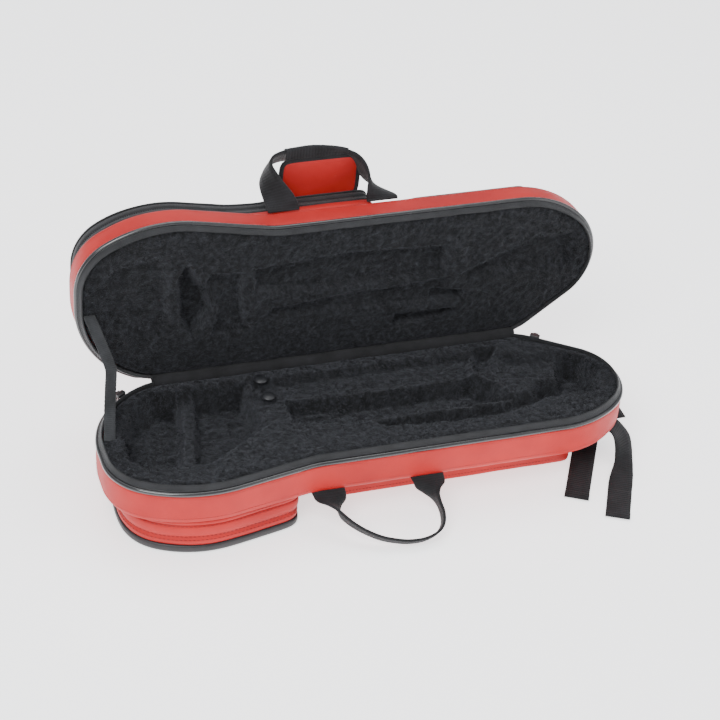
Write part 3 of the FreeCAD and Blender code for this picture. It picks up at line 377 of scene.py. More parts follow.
def rimRing(spot, profile, sign, wobble=0.0, limit=-0.3):
    # one cross-section: profile points are (distance outside the rim line, depth from the rim plane)
    x, y, nx, ny = spot
    ring = []
    for out, depth in profile:
        g = out + wobble
        ring.append(Vector((x + g * nx, min(y + g * ny, limit), sign * depth)) * mm)
    return ring


# which way is deeper from the rim plane, and where the half is drawn
sides = {"base": (-1, atBase), "lid": (1, atLid)}


# ---------- plush linings ----------

def polygonDepth(x, y, corners):
    # signed distance into a polygon, positive inside
    inside = np.zeros(x.shape, bool)
    near = np.full(x.shape, 1e9)
    for (x0, y0), (x1, y1) in zip(corners, corners[1:] + corners[:1]):
        dx, dy = x1 - x0, y1 - y0
        t = np.clip(((x - x0) * dx + (y - y0) * dy) / (dx * dx + dy * dy), 0, 1)
        near = np.minimum(near, np.hypot(x - x0 - t * dx, y - y0 - t * dy))
        crosses = ((y0 > y) != (y1 > y)) & (x < dx * (y - y0) / (dy if dy else 1e-9) + x0)
        inside ^= crosses
    return np.where(inside, near, -near)


def noiseField(x, y, scale, seed):
    flat = [noise.noise(Vector((a / scale, b / scale, seed))) for a, b in zip(x.ravel(), y.ravel())]
    return np.array(flat).reshape(x.shape)


baseLining = {
    "node": "base_lining", "body": "base", "seed": 1.7, "under": 52, "edge": 5.5, "top": 1.6, "clump": 2.3,
    # each recess: depth, softness of its edge, corners
    "recesses": [
        (16, 16, [(22, -132), (44, -44), (110, -22), (200, -24), (208, -104), (118, -166), (44, -162)]),
        (36, 12, [(24, -138), (26, -116), (28, -83), (46, -47), (77, -24), (110, -25), (116, -46), (99, -120),
                  (88, -155), (69, -158), (40, -153)]),
        (35, 9, [(128, -28), (124, -50), (98, -156), (112, -162), (160, -137), (204, -108), (200, -70),
                 (196, -26)]),
        (9, 8, [(203, -26), (335, -24), (500, -26), (484, -74), (321, -74), (236, -76), (192, -69)]),
        (27, 12, [(236, -62), (340, -70), (482, -70), (505, -96), (520, -126), (423, -128), (305, -131),
                  (238, -112)]),
        (17, 8, [(330, -133), (423, -133), (500, -130), (560, -118), (570, -132), (536, -144), (484, -154),
                 (436, -154), (345, -146)]),
        (32, 14, [(604, -58), (620, -57), (636, -70), (647, -97), (640, -123), (625, -135), (600, -130),
                  (566, -131), (545, -118), (560, -100), (588, -98), (594, -80)]),
        (9, 12, [(531, -37), (608, -54), (590, -100), (514, -84)]),
        (15, 9, [(504, -20), (533, -24), (519, -70), (488, -64)])],
    "ridges": [((305, -130), (423, -127), 3.0), ((235, -78), (480, -73), 2.5)],
}
lidLining = {
    "node": "lid_lining", "body": "lid", "seed": 9.3, "under": 41, "edge": 5.5, "top": 1.6, "clump": 2.0,
    "recesses": [
        (8, 14, [(25, -97), (23, -135), (27, -154), (45, -166), (72, -172), (100, -174), (108, -152),
                 (110, -100),
                  (106, -66), (72, -52), (34, -76)]),
        (25, 9, [(128, -60), (122, -74), (119, -137), (130, -154), (150, -122), (157, -116), (166, -84),
                 (138, -48)]),
        (10, 6, [(160, -48), (214, -52), (205, -78), (200, -108), (203, -136), (160, -140), (152, -126),
                 (168, -84)]),
        (9, 7, [(226, -64), (315, -66), (470, -56), (474, -94), (389, -90), (347, -92), (286, -86),
                (240, -80)]),
        (13, 8, [(214, -138), (286, -146), (325, -148), (470, -140), (470, -98), (400, -96), (250, -100),
                 (216, -108)]),
        (15, 5, [(449, -58), (494, -58), (496, -72), (449, -78)]),
        (14, 5, [(404, -48), (488, -46), (470, -34), (397, -28)]),
        (11, 12, [(478, -92), (560, -90), (637, -90), (645, -106), (641, -137), (592, -141), (540, -122)])],
    "ridges": [((105, -151), (116, -62), 1.8), ((208, -62), (206, -134), 3.0), ((262, -82), (389, -90), 3.0),
               ((480, -94), (590, -141), 4.0), ((512, -168), (560, -145), 3.0), ((560, -145), (600, -142), 3.0),
               ((246, -141), (325, -146), 2.5)],
}


def liningField(x, y, spec, along):
    # depth of the plush below the rim plane; "along" is the distance from the lining's edge
    deep = np.zeros(x.shape)
    for depth, soft, corners in spec["recesses"]:
        into = polygonDepth(x, y, corners)
        wave = np.clip((into + 0.45 * soft) / (1.45 * soft), 0, 1)
        deep = np.maximum(deep, depth * wave * wave * (3 - 2 * wave))
    for (x0, y0), (x1, y1), high in spec["ridges"]:
        dx, dy = x1 - x0, y1 - y0
        t = np.clip(((x - x0) * dx + (y - y0) * dy) / (dx * dx + dy * dy), 0, 1)
        near = np.hypot(x - x0 - t * dx, y - y0 - t * dy)
        deep -= high * np.exp(-(near / 5.0) ** 2)
    roll = np.clip(1 - along / 9.0, 0, 1)
    deep = np.maximum(deep, 0) + spec["edge"] * roll * roll
    folds = np.abs(noiseField(x, y, 26, spec["seed"])) * 1.6 * spec["clump"]
    folds += np.abs(noiseField(x, y, 12, spec["seed"] + 4)) * 1.3 * spec["clump"]
    folds += noiseField(x, y, 5.5, spec["seed"] + 8) * 0.5 * spec["clump"]
    return np.maximum(deep + spec["top"] + folds * np.clip(along / 6, 0.25, 1), 0.9)


def liningGrid(inset, columns=300, rows=96):
    # quad grid filling the outline: columns crowd towards the round ends
    outline = rimLine(0.0, 1.5)
    left = min(range(len(outline)), key=lambda i: outline[i][0])
    right = max(range(len(outline)), key=lambda i: outline[i][0])
    x0, x1 = outline[left][0] + inset, outline[right][0] - inset
    back = outline[:left + 1][::-1] + outline[right:][::-1]
    front = outline[left:right + 1]
    t = np.linspace(0, 1, columns)
    ends = 0.5 - 0.5 * np.cos(np.pi * t)
    xs = x0 + (x1 - x0) * (0.62 * t + 0.38 * ends)
    back = sorted((p[0] + inset * 0.5 * (1 if p[0] < 300 else -1), p[1]) for p in back)
    front = sorted((p[0], p[1]) for p in front)
    backY = np.interp(xs, [p[0] for p in back], [p[1] for p in back]) - 3.2
    frontY = np.interp(xs, [p[0] for p in front], [p[1] for p in front]) + inset
    middle = (backY + frontY) / 2
    backY = np.maximum(backY, middle + 1.0)
    frontY = np.minimum(frontY, middle - 1.0)
    v = np.linspace(0, 1, rows)
    x = np.repeat(xs[:, None], rows, 1)
    y = backY[:, None] * (1 - v) + frontY[:, None] * v
    return x, y, outline


def edgeDistance(x, y, outline):
    near = np.full(x.shape, 1e9)
    for px, py, nx, ny in outline[::2]:
        near = np.minimum(near, np.hypot(x - px, y - py))
    return np.minimum(near, np.abs(y + 3.2))


def makeLining(spec):
    sign, where = sides[spec["body"]]
    x, y, outline = liningGrid(0.8)
    z = sign * liningField(x, y, spec, edgeDistance(x, y, outline))
    columns, rows = x.shape
    bm = bmesh.new()
    grid = [[bm.verts.new((x[i, j] * mm, y[i, j] * mm, z[i, j] * mm)) for j in range(rows)]
            for i in range(columns)]
    for i in range(columns - 1):
        for j in range(rows - 1):
            bm.faces.new((grid[i][j], grid[i + 1][j], grid[i + 1][j + 1], grid[i][j + 1]))
    border = [e for e in bm.edges if e.is_boundary]
    skirt = bmesh.ops.extrude_edge_only(bm, edges=border)["geom"]
    for vert in [v for v in skirt if isinstance(v, bmesh.types.BMVert)]:
        vert.co.z = sign * spec["under"] * mm
    under = bmesh.ops.edgeloop_fill(bm, edges=[e for e in bm.edges if e.is_boundary])["faces"]
    bmesh.ops.recalc_face_normals(bm, faces=bm.faces)
    obj = finishMesh(spec["body"] + "Plush", bm, plush, where)
    keep(obj, spec["body"], spec["node"], slot="plush")
    print(spec["body"], "plush", len(obj.data.polygons), "faces", len(under), "under it")
    makePile(spec, x, y, z, sign, where)


def makePile(spec, x, y, z, sign, where, count=26000):
    # bent blades of pile, leaning together in clumps
    rng = np.random.default_rng(int(spec["seed"] * 10))
    columns, rows = x.shape
    i, j = rng.integers(1, columns - 2, count), rng.integers(2, rows - 3, count)
    u, v = rng.random(count), rng.random(count)

    def grid(field):
        low = field[i, j] * (1 - u) + field[i + 1, j] * u
        high = field[i, j + 1] * (1 - u) + field[i + 1, j + 1] * u
        return low * (1 - v) + high * v

    root = np.stack([grid(x), grid(y), grid(z)], 1)
    dx = np.stack([field[i + 1, j] - field[i, j] for field in (x, y, z)], 1)
    dy = np.stack([field[i, j + 1] - field[i, j] for field in (x, y, z)], 1)
    up = np.cross(dy, dx) * -sign
    up *= (np.sign(up[:, 2]) * -sign)[:, None] / np.linalg.norm(up, axis=1)[:, None]
    flow = noiseField(root[:, 0], root[:, 1], 17, spec["seed"] + 20) * 5 + rng.normal(0, 0.35, count)
    lean = np.stack([np.cos(flow), np.sin(flow), np.zeros(count)], 1)
    side = np.cross(up, lean)
    side /= np.linalg.norm(side, axis=1)[:, None]
    long = rng.uniform(2.6, 5.6, count)[:, None]
    wide = rng.uniform(0.28, 0.6, count)[:, None]
    middle = root + (up * 0.5 + lean * 0.36) * long * 0.55
    tip = middle + (up * 0.16 + lean * 0.75) * long * 0.6
    root = root - up * 0.6
    points = np.stack([root - side * wide, root + side * wide, middle - side * wide * 0.8,
                       middle + side * wide * 0.8, tip], 1)
    points[:, :, 2] = sign * np.maximum(sign * points[:, :, 2], 0.4)
    faces = []
    for n in range(count):
        a = 5 * n
        faces += [(a, a + 1, a + 3, a + 2), (a + 2, a + 3, a + 4)]
    mesh = bpy.data.meshes.new(spec["body"] + "Pile")
    mesh.from_pydata((points.reshape(-1, 3) * mm).tolist(), [], faces)
    mesh.transform(where)
    mesh.materials.append(plush)
    obj = bpy.data.objects.new(spec["body"] + "Pile", mesh)
    bpy.context.scene.collection.objects.link(obj)
    keep(obj, spec["body"], slot="plush")


for spec in (baseLining, lidLining):
    makeLining(spec)


# ---------- rim: zip tape, teeth, piping ----------

tape = {"lip": [(0.2, 12.0), (0.2, 2.0), (0.4, 1.0), (1.0, 0.7), (1.9, 1.4)],
        "slope": [(2.9, 3.0), (4.1, 5.0), (5.2, 6.6), (5.5, 7.0)],
        "foot": [(5.2, 7.2), (3.6, 7.0), (2.8, 7.2), (2.8, 14.2)], "waves": 0.5}
teeth = {"pitch": 1.7, "out": (3.3, 5.7), "depth": (7.0, 8.9), "wide": 0.95}
piping = {"radius": 3.0, "reach": 6.0, "depth": 11.4, "around": 14}


def box8(bm, centre, axes, halves):
    # small box on three axes, with its long edges cut
    corners = []
    for sx, sy in ((-1, -0.6), (-0.6, -1), (0.6, -1), (1, -0.6), (1, 0.6), (0.6, 1), (-0.6, 1), (-1, 0.6)):
        corners.append(axes[0] * halves[0] * sx + axes[1] * halves[1] * sy)
    low = [bm.verts.new(centre + c - axes[2] * halves[2]) for c in corners]
    high = [bm.verts.new(centre + c + axes[2] * halves[2]) for c in corners]
    for k in range(8):
        bm.faces.new((low[k], low[(k + 1) % 8], high[(k + 1) % 8], high[k]))
    bm.faces.new(low[::-1])
    bm.faces.new(high)


def stitch(bm, a, b, normal, wide=0.28, high=0.22):
    # one raised stitch from a to b
    run = (b - a)
    side = run.cross(normal).normalized() * wide * mm
    lift = normal * high * mm
    rows = []
    for t, s in ((0, 0.5), (0.25, 1), (0.75, 1), (1, 0.5)):
        p = a + run * t
        rows.append([bm.verts.new(p - side * s - lift * 0.4), bm.verts.new(p + lift * s),
                     bm.verts.new(p + side * s - lift * 0.4)])
    for r0, r1 in zip(rows, rows[1:]):
        for k in range(2):
            bm.faces.new((r0[k], r0[k + 1], r1[k + 1], r1[k]))
        bm.faces.new((r0[2], r0[0], r1[0], r1[2]))
    bm.faces.new(rows[0])
    bm.faces.new(rows[-1][::-1])


def stitchLine(bm, points, normals, long=2.6, gap=1.3):
    # stitches along a line of points
    run = [0.0]
    for a, b in zip(points, points[1:]):
        run.append(run[-1] + (b - a).length)
    spots = np.array([tuple(p) for p in points])
    turns = np.array([tuple(n) for n in normals])

    def at(s):
        p = Vector([np.interp(s, run, spots[:, k]) for k in range(3)])
        n = Vector([np.interp(s, run, turns[:, k]) for k in range(3)])
        return p, n.normalized()

    s = gap * mm
    while s + long * mm < run[-1]:
        (a, normal), (b, _) = at(s), at(s + long * mm)
        stitch(bm, a, b, normal)
        s += (long + gap) * mm


def waviness(spot, scale, seed, amount):
    return amount * noise.noise(Vector((spot[0] / scale, spot[1] / scale, seed)))


for side, (sign, where) in sides.items():
    stations = rimLine(2.6, 3.0)
    bm = bmesh.new()
    profile = tape["lip"] + tape["slope"] + tape["foot"]
    rings = []
    for spot in stations:
        wave = waviness(spot, 22, sign + 3.3, tape["waves"])
        ring = [(g + wave * (0.3 < d < 6.9), d + 0.4 * wave * (d < 6)) for g, d in profile]
        rings.append(rimRing(spot, ring, sign))
    ribbon(bm, rings)
    obj = finishMesh(side + "ZipTape", bm, tapeCloth, where)
    keep(obj, side, side + "_zip_tape", slot="zip_tape")

    bm = bmesh.new()
    for spot in rimLine(5.6, teeth["pitch"]):
        x, y, nx, ny = spot
        out = Vector((nx, ny, 0))
        along = Vector((-ny, nx, 0))
        lowG, highG = teeth["out"]
        lowD, highD = teeth["depth"]
        centre = Vector((x, y, 0)) + out * (lowG + highG) / 2 + Vector((0, 0, sign * (lowD + highD) / 2))
        if centre.y < -1.2:
            box8(bm, centre * mm, (out, Vector((0, 0, 1)), along),
                 ((highG - lowG) / 2 * mm, (highD - lowD) / 2 * mm, teeth["wide"] / 2 * mm))
    obj = finishMesh(side + "ZipTeeth", bm, toothPlastic, where, shade=False)
    keep(obj, side, side + "_zip_teeth", slot="zip_teeth")

    bm = bmesh.new()
    rings = []
    for spot in rimLine(piping["reach"] + 0.4, 3.0):
        wave = waviness(spot, 35, sign + 7.7, 0.25)
        ring = []
        for k in range(piping["around"]):
            a = 2 * math.pi * k / piping["around"]
            ring.append((piping["reach"] + piping["radius"] * math.cos(a),
                         piping["depth"] + wave * 0.6 + piping["radius"] * math.sin(a)))
        rings.append(rimRing(spot, ring, sign, wave))
    ribbon(bm, rings)
    obj = finishMesh(side + "Piping", bm, vinyl, where)
    keep(obj, side, side + "_piping", slot="piping")

    bm = bmesh.new()
    for out, depth in ((1.6, 1.25), (4.6, 5.9)):
        line = [rimRing(s, [(out + 0.12, depth - 0.1)], sign)[0] for s in rimLine(5.0, 4.0)]
        tilt = [Vector((s[2] * 0.6, s[3] * 0.6, -sign * 0.8)) for s in rimLine(5.0, 4.0)]
        stitchLine(bm, line, tilt, 2.2, 1.6)
    keep(finishMesh(side + "TapeStitches", bm, blackThread, where), side, slot="zip_tape")
print("rims made")


# ---------- walls, pockets ----------

def closedLoop(corners, soft, step=3.0, outline=()):
    # even closed line through outline points and corners, corners eased; outward normals added
    points = [(p[0], p[1]) for p in outline] + list(corners)
    dense = []
    for (x0, y0), (x1, y1) in zip(points, points[1:] + points[:1]):
        count = max(1, int(math.hypot(x1 - x0, y1 - y0) / step + 0.5))
        dense += [(x0 + (x1 - x0) * i / count, y0 + (y1 - y0) * i / count) for i in range(count)]
    line = np.array(dense)
    for turn in range(soft):
        line = (np.roll(line, 1, 0) + 2 * line + np.roll(line, -1, 0)) / 4
    tangent = np.roll(line, -1, 0) - np.roll(line, 1, 0)
    tangent /= np.linalg.norm(tangent, axis=1)[:, None]
    area = 0.5 * np.sum(line[:, 0] * np.roll(line[:, 1], -1) - np.roll(line[:, 0], -1) * line[:, 1])
    turn = 1 if area > 0 else -1
    return [(p[0], p[1], turn * t[1], -turn * t[0]) for p, t in zip(line, tangent)]


def boxLoop(spec):
    # a rectangle in plan with eased corners
    corners = [(spec[a], spec[b]) for a, b in
               (("left", "back"), ("left", "front"), ("right", "front"), ("right", "back"))]
    return closedLoop(corners, spec["soft"])


def rimLoop(grow, back, cut, soft, bulge=0.0):
    # the rim line moved by grow, cut off at x = cut and at the hinge side; bulge adds to grow past x = 230
    line = []
    for x, y, nx, ny in rimLine(0.0, 3.0):
        out = grow + bulge * min(max((x - 200) / 60, 0), 1)
        line.append((x + out * nx, y + out * ny))
    line = [p for p in line if p[1] < -back and p[0] < cut]
    front = [p for p in line if p[0] > 60 and p[1] < -100]
    if cut < 600:
        return closedLoop([(cut, front[-1][1]), (cut, -back)], soft, outline=line)
    return closedLoop([], soft, outline=line)


def loopRings(loop, profile, sign, puff=0.0, seed=0.0, limit=-0.3):
    rings = []
    for g, depth in profile:
        ring = []
        for x, y, nx, ny in loop:
            out = g + puff * noise.noise(Vector((x / 38, y / 38 + seed, depth / 16)))
            ring.append(Vector((x + out * nx, min(y + out * ny, limit), sign * depth)) * mm)
        rings.append(ring)
    return rings


def loopMesh(name, loop, profile, sign, mat, where, puff=0.0, seed=0.0, capLast=True):
    # a skirt round the loop; UV is metres round and metres down
    bm = bmesh.new()
    uv = bm.loops.layers.uv.verify()
    rings = loopRings(loop, profile, sign, puff, seed)
    rows = [[bm.verts.new(p) for p in ring] for ring in rings]
    count = len(loop)
    run = 0.0
    for k in range(count):
        long = (rings[0][(k + 1) % count] - rings[0][k]).length
        down = 0.0
        for i in range(len(rows) - 1):
            tall = (rings[i + 1][k] - rings[i][k]).length
            after = (k + 1) % count
            face = bm.faces.new((rows[i][k], rows[i][after], rows[i + 1][after], rows[i + 1][k]))
            for loopEnd, place in zip(face.loops, ((run, down), (run + long, down),
                                                   (run + long, down + tall), (run, down + tall))):
                loopEnd[uv].uv = place
            down += tall
        run += long
    if capLast:
        bm.faces.new(rows[-1])
    return finishMesh(name, bm, mat, where)


def loopStitches(bm, loop, g, depth, sign, long=2.8, gap=1.6, keepOnly=None):
    line, tilt = [], []
    for x, y, nx, ny in loop + loop[:1]:
        if keepOnly and not keepOnly(x, y):
            continue
        line.append(Vector((x + g * nx, min(y + g * ny, -0.3), sign * depth)) * mm)
        tilt.append(Vector((nx, ny, 0)))
    stitchLine(bm, line, tilt, long, gap)


def arcProfile(out, depth, radius, steps=5):
    # quarter round from a wall at "out" to a flat face at "depth"
    return [(out - radius + radius * math.cos(a), depth - radius + radius * math.sin(a))
            for a in (math.pi / 2 * i / steps for i in range(steps + 1))]


def seams(name, loop, rows, sign, thread, where, body, **spacing):
    # rows of stitches round a loop, each row at (distance out, depth)
    bm = bmesh.new()
    for g, depth in rows:
        loopStitches(bm, loop, g, depth, sign, **spacing)
    keep(finishMesh(name, bm, thread, where), body, slot="shell_leatherette")


walls = {"base": {"depth": 58, "round": 9, "mat": redLeather, "seed": 2.0},
         "lid": {"depth": 47, "round": 5, "mat": redLid, "seed": 6.0}}
wholeLoop = rimLoop(7.5, 0.3, 900, 1)
for side, (sign, where) in sides.items():
    spec = walls[side]
    profile = [(-5.0, 14.4), (-1.5, 14.2), (-0.2, 14.6), (0, 17)]
    low = spec["depth"] - spec["round"]
    profile += [(0.3 * math.sin((d - 17) / (low - 17) * math.pi), d) for d in np.linspace(20, low - 2, 6)]
    profile += arcProfile(0, spec["depth"], spec["round"]) + [(-spec["round"] - 4, spec["depth"])]
    obj = loopMesh(side + "Wall", wholeLoop, profile, sign, spec["mat"], where, 0.5, spec["seed"])
    keep(obj, side, side + "_shell", slot="shell_leatherette")
    seams(side + "WallStitches", wholeLoop, ((0.1, 18.2), (0.15, low - 1)), sign, redThread, where, side,
          keepOnly=lambda x, y: y < -6)

# the under-pocket follows the bell end, a little shorter and standing a little further forward
bellPocket = {"grow": -4, "back": 12, "cut": 236, "soft": 44, "end": 227, "narrow": 0.92, "deepen": 1.022}
loop = rimLoop(bellPocket["grow"], bellPocket["back"], bellPocket["cut"], bellPocket["soft"])
loop = [(bellPocket["end"] - (bellPocket["cut"] - x) * bellPocket["narrow"], y * bellPocket["deepen"], nx, ny)
        for x, y, nx, ny in loop]
profile = [(-3, 57.4), (0.2, 57.6), (1.6, 58.6), (2.2, 61), (1.9, 63.6), (0.4, 64.6), (-2.4, 64.9),
           (-2.6, 65.6),
           (0.2, 66.2), (1.5, 70), (1.9, 75), (1.4, 80.5), (-0.4, 84.2), (-1.6, 85.2), (-0.2, 86.4),
           (1.6, 89.6),
           (1.0, 94), (-0.8, 97.2), (-3, 97.6)]
obj = loopMesh("bellPocketGusset", loop, profile, -1, redLeather, atBase, 0.7, 3.1, capLast=False)
keep(obj, "base", "bell_pocket_gusset", slot="shell_leatherette")
seams("bellPocketStitches", loop, ((2.0, 60.6), (0.9, 67.2), (1.1, 82.6), (1.3, 88.2)), -1, blackThread, atBase,
      "base", long=3.2, gap=2.0)
profile = [(-4, 96.6), (0.4, 96.8), (1.9, 97.6), (2.3, 99.4), (2.4, 103), (1.9, 105.4), (0.6, 107.2), (-2, 108)]
obj = loopMesh("bellPocketBumper", loop, profile, -1, rubber, atBase, 0.25, 5.0)
keep(obj, "base", "bell_pocket_bumper", slot="bumper")

strapPocket = {"left": 267, "right": 603, "front": -147, "back": -13, "soft": 14}
loop = boxLoop(strapPocket)
profile = [(0, 57.4), (1.2, 62), (1.4, 74), (1.2, 88), (0.6, 98)] + arcProfile(0.4, 108, 6)
obj = loopMesh("strapPocket", loop, profile, -1, redLeather, atBase, 0.9, 8.0)
keep(obj, "base", "strap_pocket", slot="shell_leatherette")
seams("strapPocketStitches", loop, ((1.3, 61.5), (0.9, 99)), -1, blackThread, atBase, "base")

lidPocket = {"grow": -4, "back": 12, "cut": 382, "bulge": 8.5}
loop = rimLoop(lidPocket["grow"], lidPocket["back"], lidPocket["cut"], 9, lidPocket["bulge"])
profile = [(-2, 46.6), (0.3, 46.8), (1.0, 48.4), (1.3, 52), (1.1, 56), (0.4, 59.4), (-1, 60.6)]
obj = loopMesh("lidPocketGusset", loop, profile, 1, redLid, atLid, 0.7, 12.0, capLast=False)
keep(obj, "lid", "lid_pocket_gusset", slot="shell_leatherette")
seams("lidPocketStitches", loop, ((1.0, 49.2), (0.9, 58.4)), 1, redThread, atLid, "lid")
profile = [(-1.2, 59.8), (0.9, 60.0), (1.5, 61.2), (1.2, 65.6), (0.2, 67.6), (-0.9, 68.0), (-0.9, 70.8),
           (0.0, 71.2),
           (1.2, 72.6), (1.6, 76.4), (0.9, 79.4), (-1.2, 79.8)]
obj = loopMesh("lidPocketZipBand", loop, profile, 1, tapeCloth, atLid, 0.3, 14.0, capLast=False)
keep(obj, "lid", "lid_pocket_zip_band", slot="zip_tape")
bm = bmesh.new()
for x, y, nx, ny in closedLoop([], 0, 2.0, outline=loop):
    out, along = Vector((nx, ny, 0)), Vector((-ny, nx, 0))
    box8(bm, (Vector((x, y, 69.4)) - out * 0.5) * mm, (out, Vector((0, 0, 1)), along),
         (0.9 * mm, 1.3 * mm, 0.55 * mm))
keep(finishMesh("lidPocketTeeth", bm, toothPlastic, atLid, shade=False), "lid", slot="zip_teeth")
profile = [(-3, 79.2), (1.4, 79.4), (2.2, 80.8), (2.0, 82.6), (0.6, 83.7), (-3, 83.9), (-4, 83.2)]
obj = loopMesh("lidPocketEdge", loop, profile, 1, bindingCloth, atLid, 0.4, 16.0, capLast=False)
keep(obj, "lid", slot="binding")
profile = [(-2, 80), (-3, 82.9), (-9, 83.4), (-20, 84.2), (-32, 84.6)]
obj = loopMesh("lidPocketPanel", loop, profile, 1, redLid, atLid, 0.4, 16.0)
keep(obj, "lid", "lid_pocket_panel", slot="shell_leatherette")

smallBox = {"left": 427, "right": 591, "front": -186, "back": -36, "soft": 12}
loop = boxLoop(smallBox)
profile = [(-0.6, 46.8), (0.1, 48), (0.2, 53), (-0.5, 55.4), (-2, 56.2), (-5.8, 56.3), (-7, 55.2), (-7.2, 53)]
obj = loopMesh("smallPocketBinding", loop, profile, 1, bindingCloth, atLid, 0.2, 18.0, capLast=False)
keep(obj, "lid", "small_pocket_binding", slot="binding")
profile = [(-6.4, 52), (-6.8, 54), (-10, 55.2), (-20, 56), (-32, 56.4)]
obj = loopMesh("smallPocketPanel", loop, profile, 1, redLid, atLid, 0.5, 20.0)
keep(obj, "lid", "small_pocket_panel", slot="shell_leatherette")
print("walls and pockets made")


# ---------- webbing ----------

acrossX = Vector((1, 0, 0))

def easedPath(keys, count):
    # keys: (point, across, normal, width, thickness); cubic through every value
    table = np.array([[*p, *a, *n, w, t] for p, a, n, w, t in keys], float)
    table = np.vstack([2 * table[0] - table[1], table, 2 * table[-1] - table[-2]])
    out = []
    for s in np.linspace(0, len(keys) - 1.0001, count):
        i, f = int(s), s - int(s)
        a, b, c, d = table[i:i + 4]
        row = 0.5 * (2 * b + (c - a) * f + (2 * a - 5 * b + 4 * c - d) * f * f + (3 * b - a - 3 * c + d) * f ** 3)
        across, normal = Vector(row[3:6]), Vector(row[6:9])
        across.normalize()
        normal = (normal - across * normal.dot(across)).normalized()
        out.append((Vector(row[:3]), across, normal, row[9], row[10]))
    return out


def webRings(path, ripple=0.0):
    rings = []
    for i, (p, across, normal, wide, thick) in enumerate(path):
        w, t = wide / 2, thick / 2
        edge = 0.25 * (1 if i % 2 else -1) * ripple
        ring = [(-w - edge, 0), (-w * 0.95, t), (-w * 0.5, t * 1.08), (0, t * 0.95), (w * 0.5, t * 1.08),
                (w * 0.95, t), (w + edge, 0), (w * 0.95, -t), (w * 0.4, -t), (-w * 0.4, -t), (-w * 0.95, -t)]
        rings.append([(p + across * u + normal * v) * mm for u, v in ring])
    return rings


def pathStitches(bm, path, share, lift=1.0, long=2.6, gap=1.5):
    line = [(p + a * w * share + n * t * 0.5 * lift) * mm for p, a, n, w, t in path]
    stitchLine(bm, line, [n * lift for p, a, n, w, t in path], long, gap)


def loopHandle(name, spec, body, nodes):
    # keys: across, down the loop, lift, turn from flat (0) to on edge (90), width, thickness
    lean = math.radians(spec["lean"])
    t = Vector((0, math.cos(lean) * spec["way"], math.sin(lean)))
    n = acrossX.cross(t)
    origin = Vector(spec["axis"])
    spots = [origin + acrossX * u + t * reach + n * lift for u, reach, lift, *rest in spec["keys"]]
    keys = []
    for i, (u, reach, lift, turn, wide, thick) in enumerate(spec["keys"]):
        a = math.radians(turn)
        hand = 1 if i < len(spots) / 2 else -1
        run = (spots[min(i + 1, len(spots) - 1)] - spots[max(i - 1, 0)]).normalized()
        keys.append((spots[i], acrossX * hand * math.cos(a) + n * math.sin(a),
                     n * math.cos(a) + n.cross(run) * math.sin(a), wide, thick))
    path = easedPath(keys, 150)
    bm = bmesh.new()
    ribbon(bm, webRings(path, 0.6))
    obj = finishMesh(name, bm, webbingCloth, atBase)
    keep(obj, body, *nodes, slot="webbing")
    bm = bmesh.new()
    for share in (-0.42, 0.42):
        pathStitches(bm, path, share)
    keep(finishMesh(name + "Stitches", bm, blackThread, atBase), body, slot="webbing")
    return [row for row in path if -51 < row[0].x - origin.x < 29 and (row[0] - origin).dot(t) > 55], t, n


lidAxisPoint = atBase.inverted() @ Vector(joints["lid_handle_swing"]["pos_m"])
lidHandle = {"axis": [328, lidAxisPoint.y / mm, lidAxisPoint.z / mm], "lean": 38, "way": 1,
             "keys": [(-64.5, -1, 0.3, 0, 41, 2.4), (-64.5, 2.5, 0.8, 0, 41, 2.4), (-66, 9, 1.6, 12, 40, 2.6),
                      (-69, 20, 1.5, 30, 38, 2.8), (-73, 32, 0.8, 46, 36, 3.0), (-75.5, 44, 0, 64, 36, 3.0),
                      (-75, 55, 0, 82, 36, 3.0), (-69, 65, 0, 90, 36, 3.0), (-57, 70, 0, 90, 36, 3.0),
                      (-42, 71.5, 0, 90, 36, 3.0), (-16, 72.5, 0, 90, 36, 3.0), (12, 68.5, 0, 90, 36, 3.0),
                      (29, 63, 0, 90, 36, 3.0), (40, 56, 0, 90, 36, 3.0), (46.5, 46, 0, 90, 36, 3.0),
                      (51, 35, 0, 84, 34, 3.2), (55.5, 25, 0, 66, 33, 3.4), (60, 15, 0.8, 36, 36, 3.0),
                      (63.5, 7, 1.4, 12, 40, 2.6), (64.5, 2.5, 0.8, 0, 41, 2.4), (64.5, -1, 0.3, 0, 41, 2.4)]}
gripPath, gripOut, gripNormal = loopHandle("lidHandle", lidHandle, "lid_handle", ["lid_handle_loop"])
baseAxisPoint = atBase.inverted() @ Vector(joints["base_handle_swing"]["pos_m"])
baseHandle = {"axis": [c / mm for c in baseAxisPoint], "lean": -36, "way": -1,
              "keys": [(-64, -8, 0.5, 0, 41, 2.4), (-64, 0, -0.4, 0, 41, 2.4), (-63, 7, -1.0, 10, 37, 2.6),
                       (-60.5, 14, -0.6, 42, 25, 3.2), (-57, 22, -0.8, 75, 18, 3.4),
                       (-52, 30.5, -1.2, 90, 16, 3.2),
                       (-42, 41.5, -1.6, 90, 16, 3.0), (-29, 52, -2.0, 90, 15, 3.0),
                       (-12.5, 62, -2.4, 90, 15, 3.0),
                       (5.5, 68.5, -2.5, 90, 15, 3.0), (22, 72, -2.5, 90, 15, 3.0), (42, 72, -2.5, 90, 15, 3.0),
                       (60, 66, -2.5, 90, 15, 3.0), (69, 56, -2.2, 90, 15, 3.0), (71.5, 43, -1.8, 90, 16, 3.0),
                       (70, 31, -1.5, 90, 16, 3.2), (67.5, 21, -0.8, 75, 18, 3.4), (65, 13, -0.6, 42, 25, 3.2),
                       (64, 6, -1.0, 10, 37, 2.6), (64, 0, -0.4, 0, 41, 2.4), (64, -8, 0.5, 0, 41, 2.4)]}
loopHandle("baseHandle", baseHandle, "base_handle", ["base_handle_loop"])


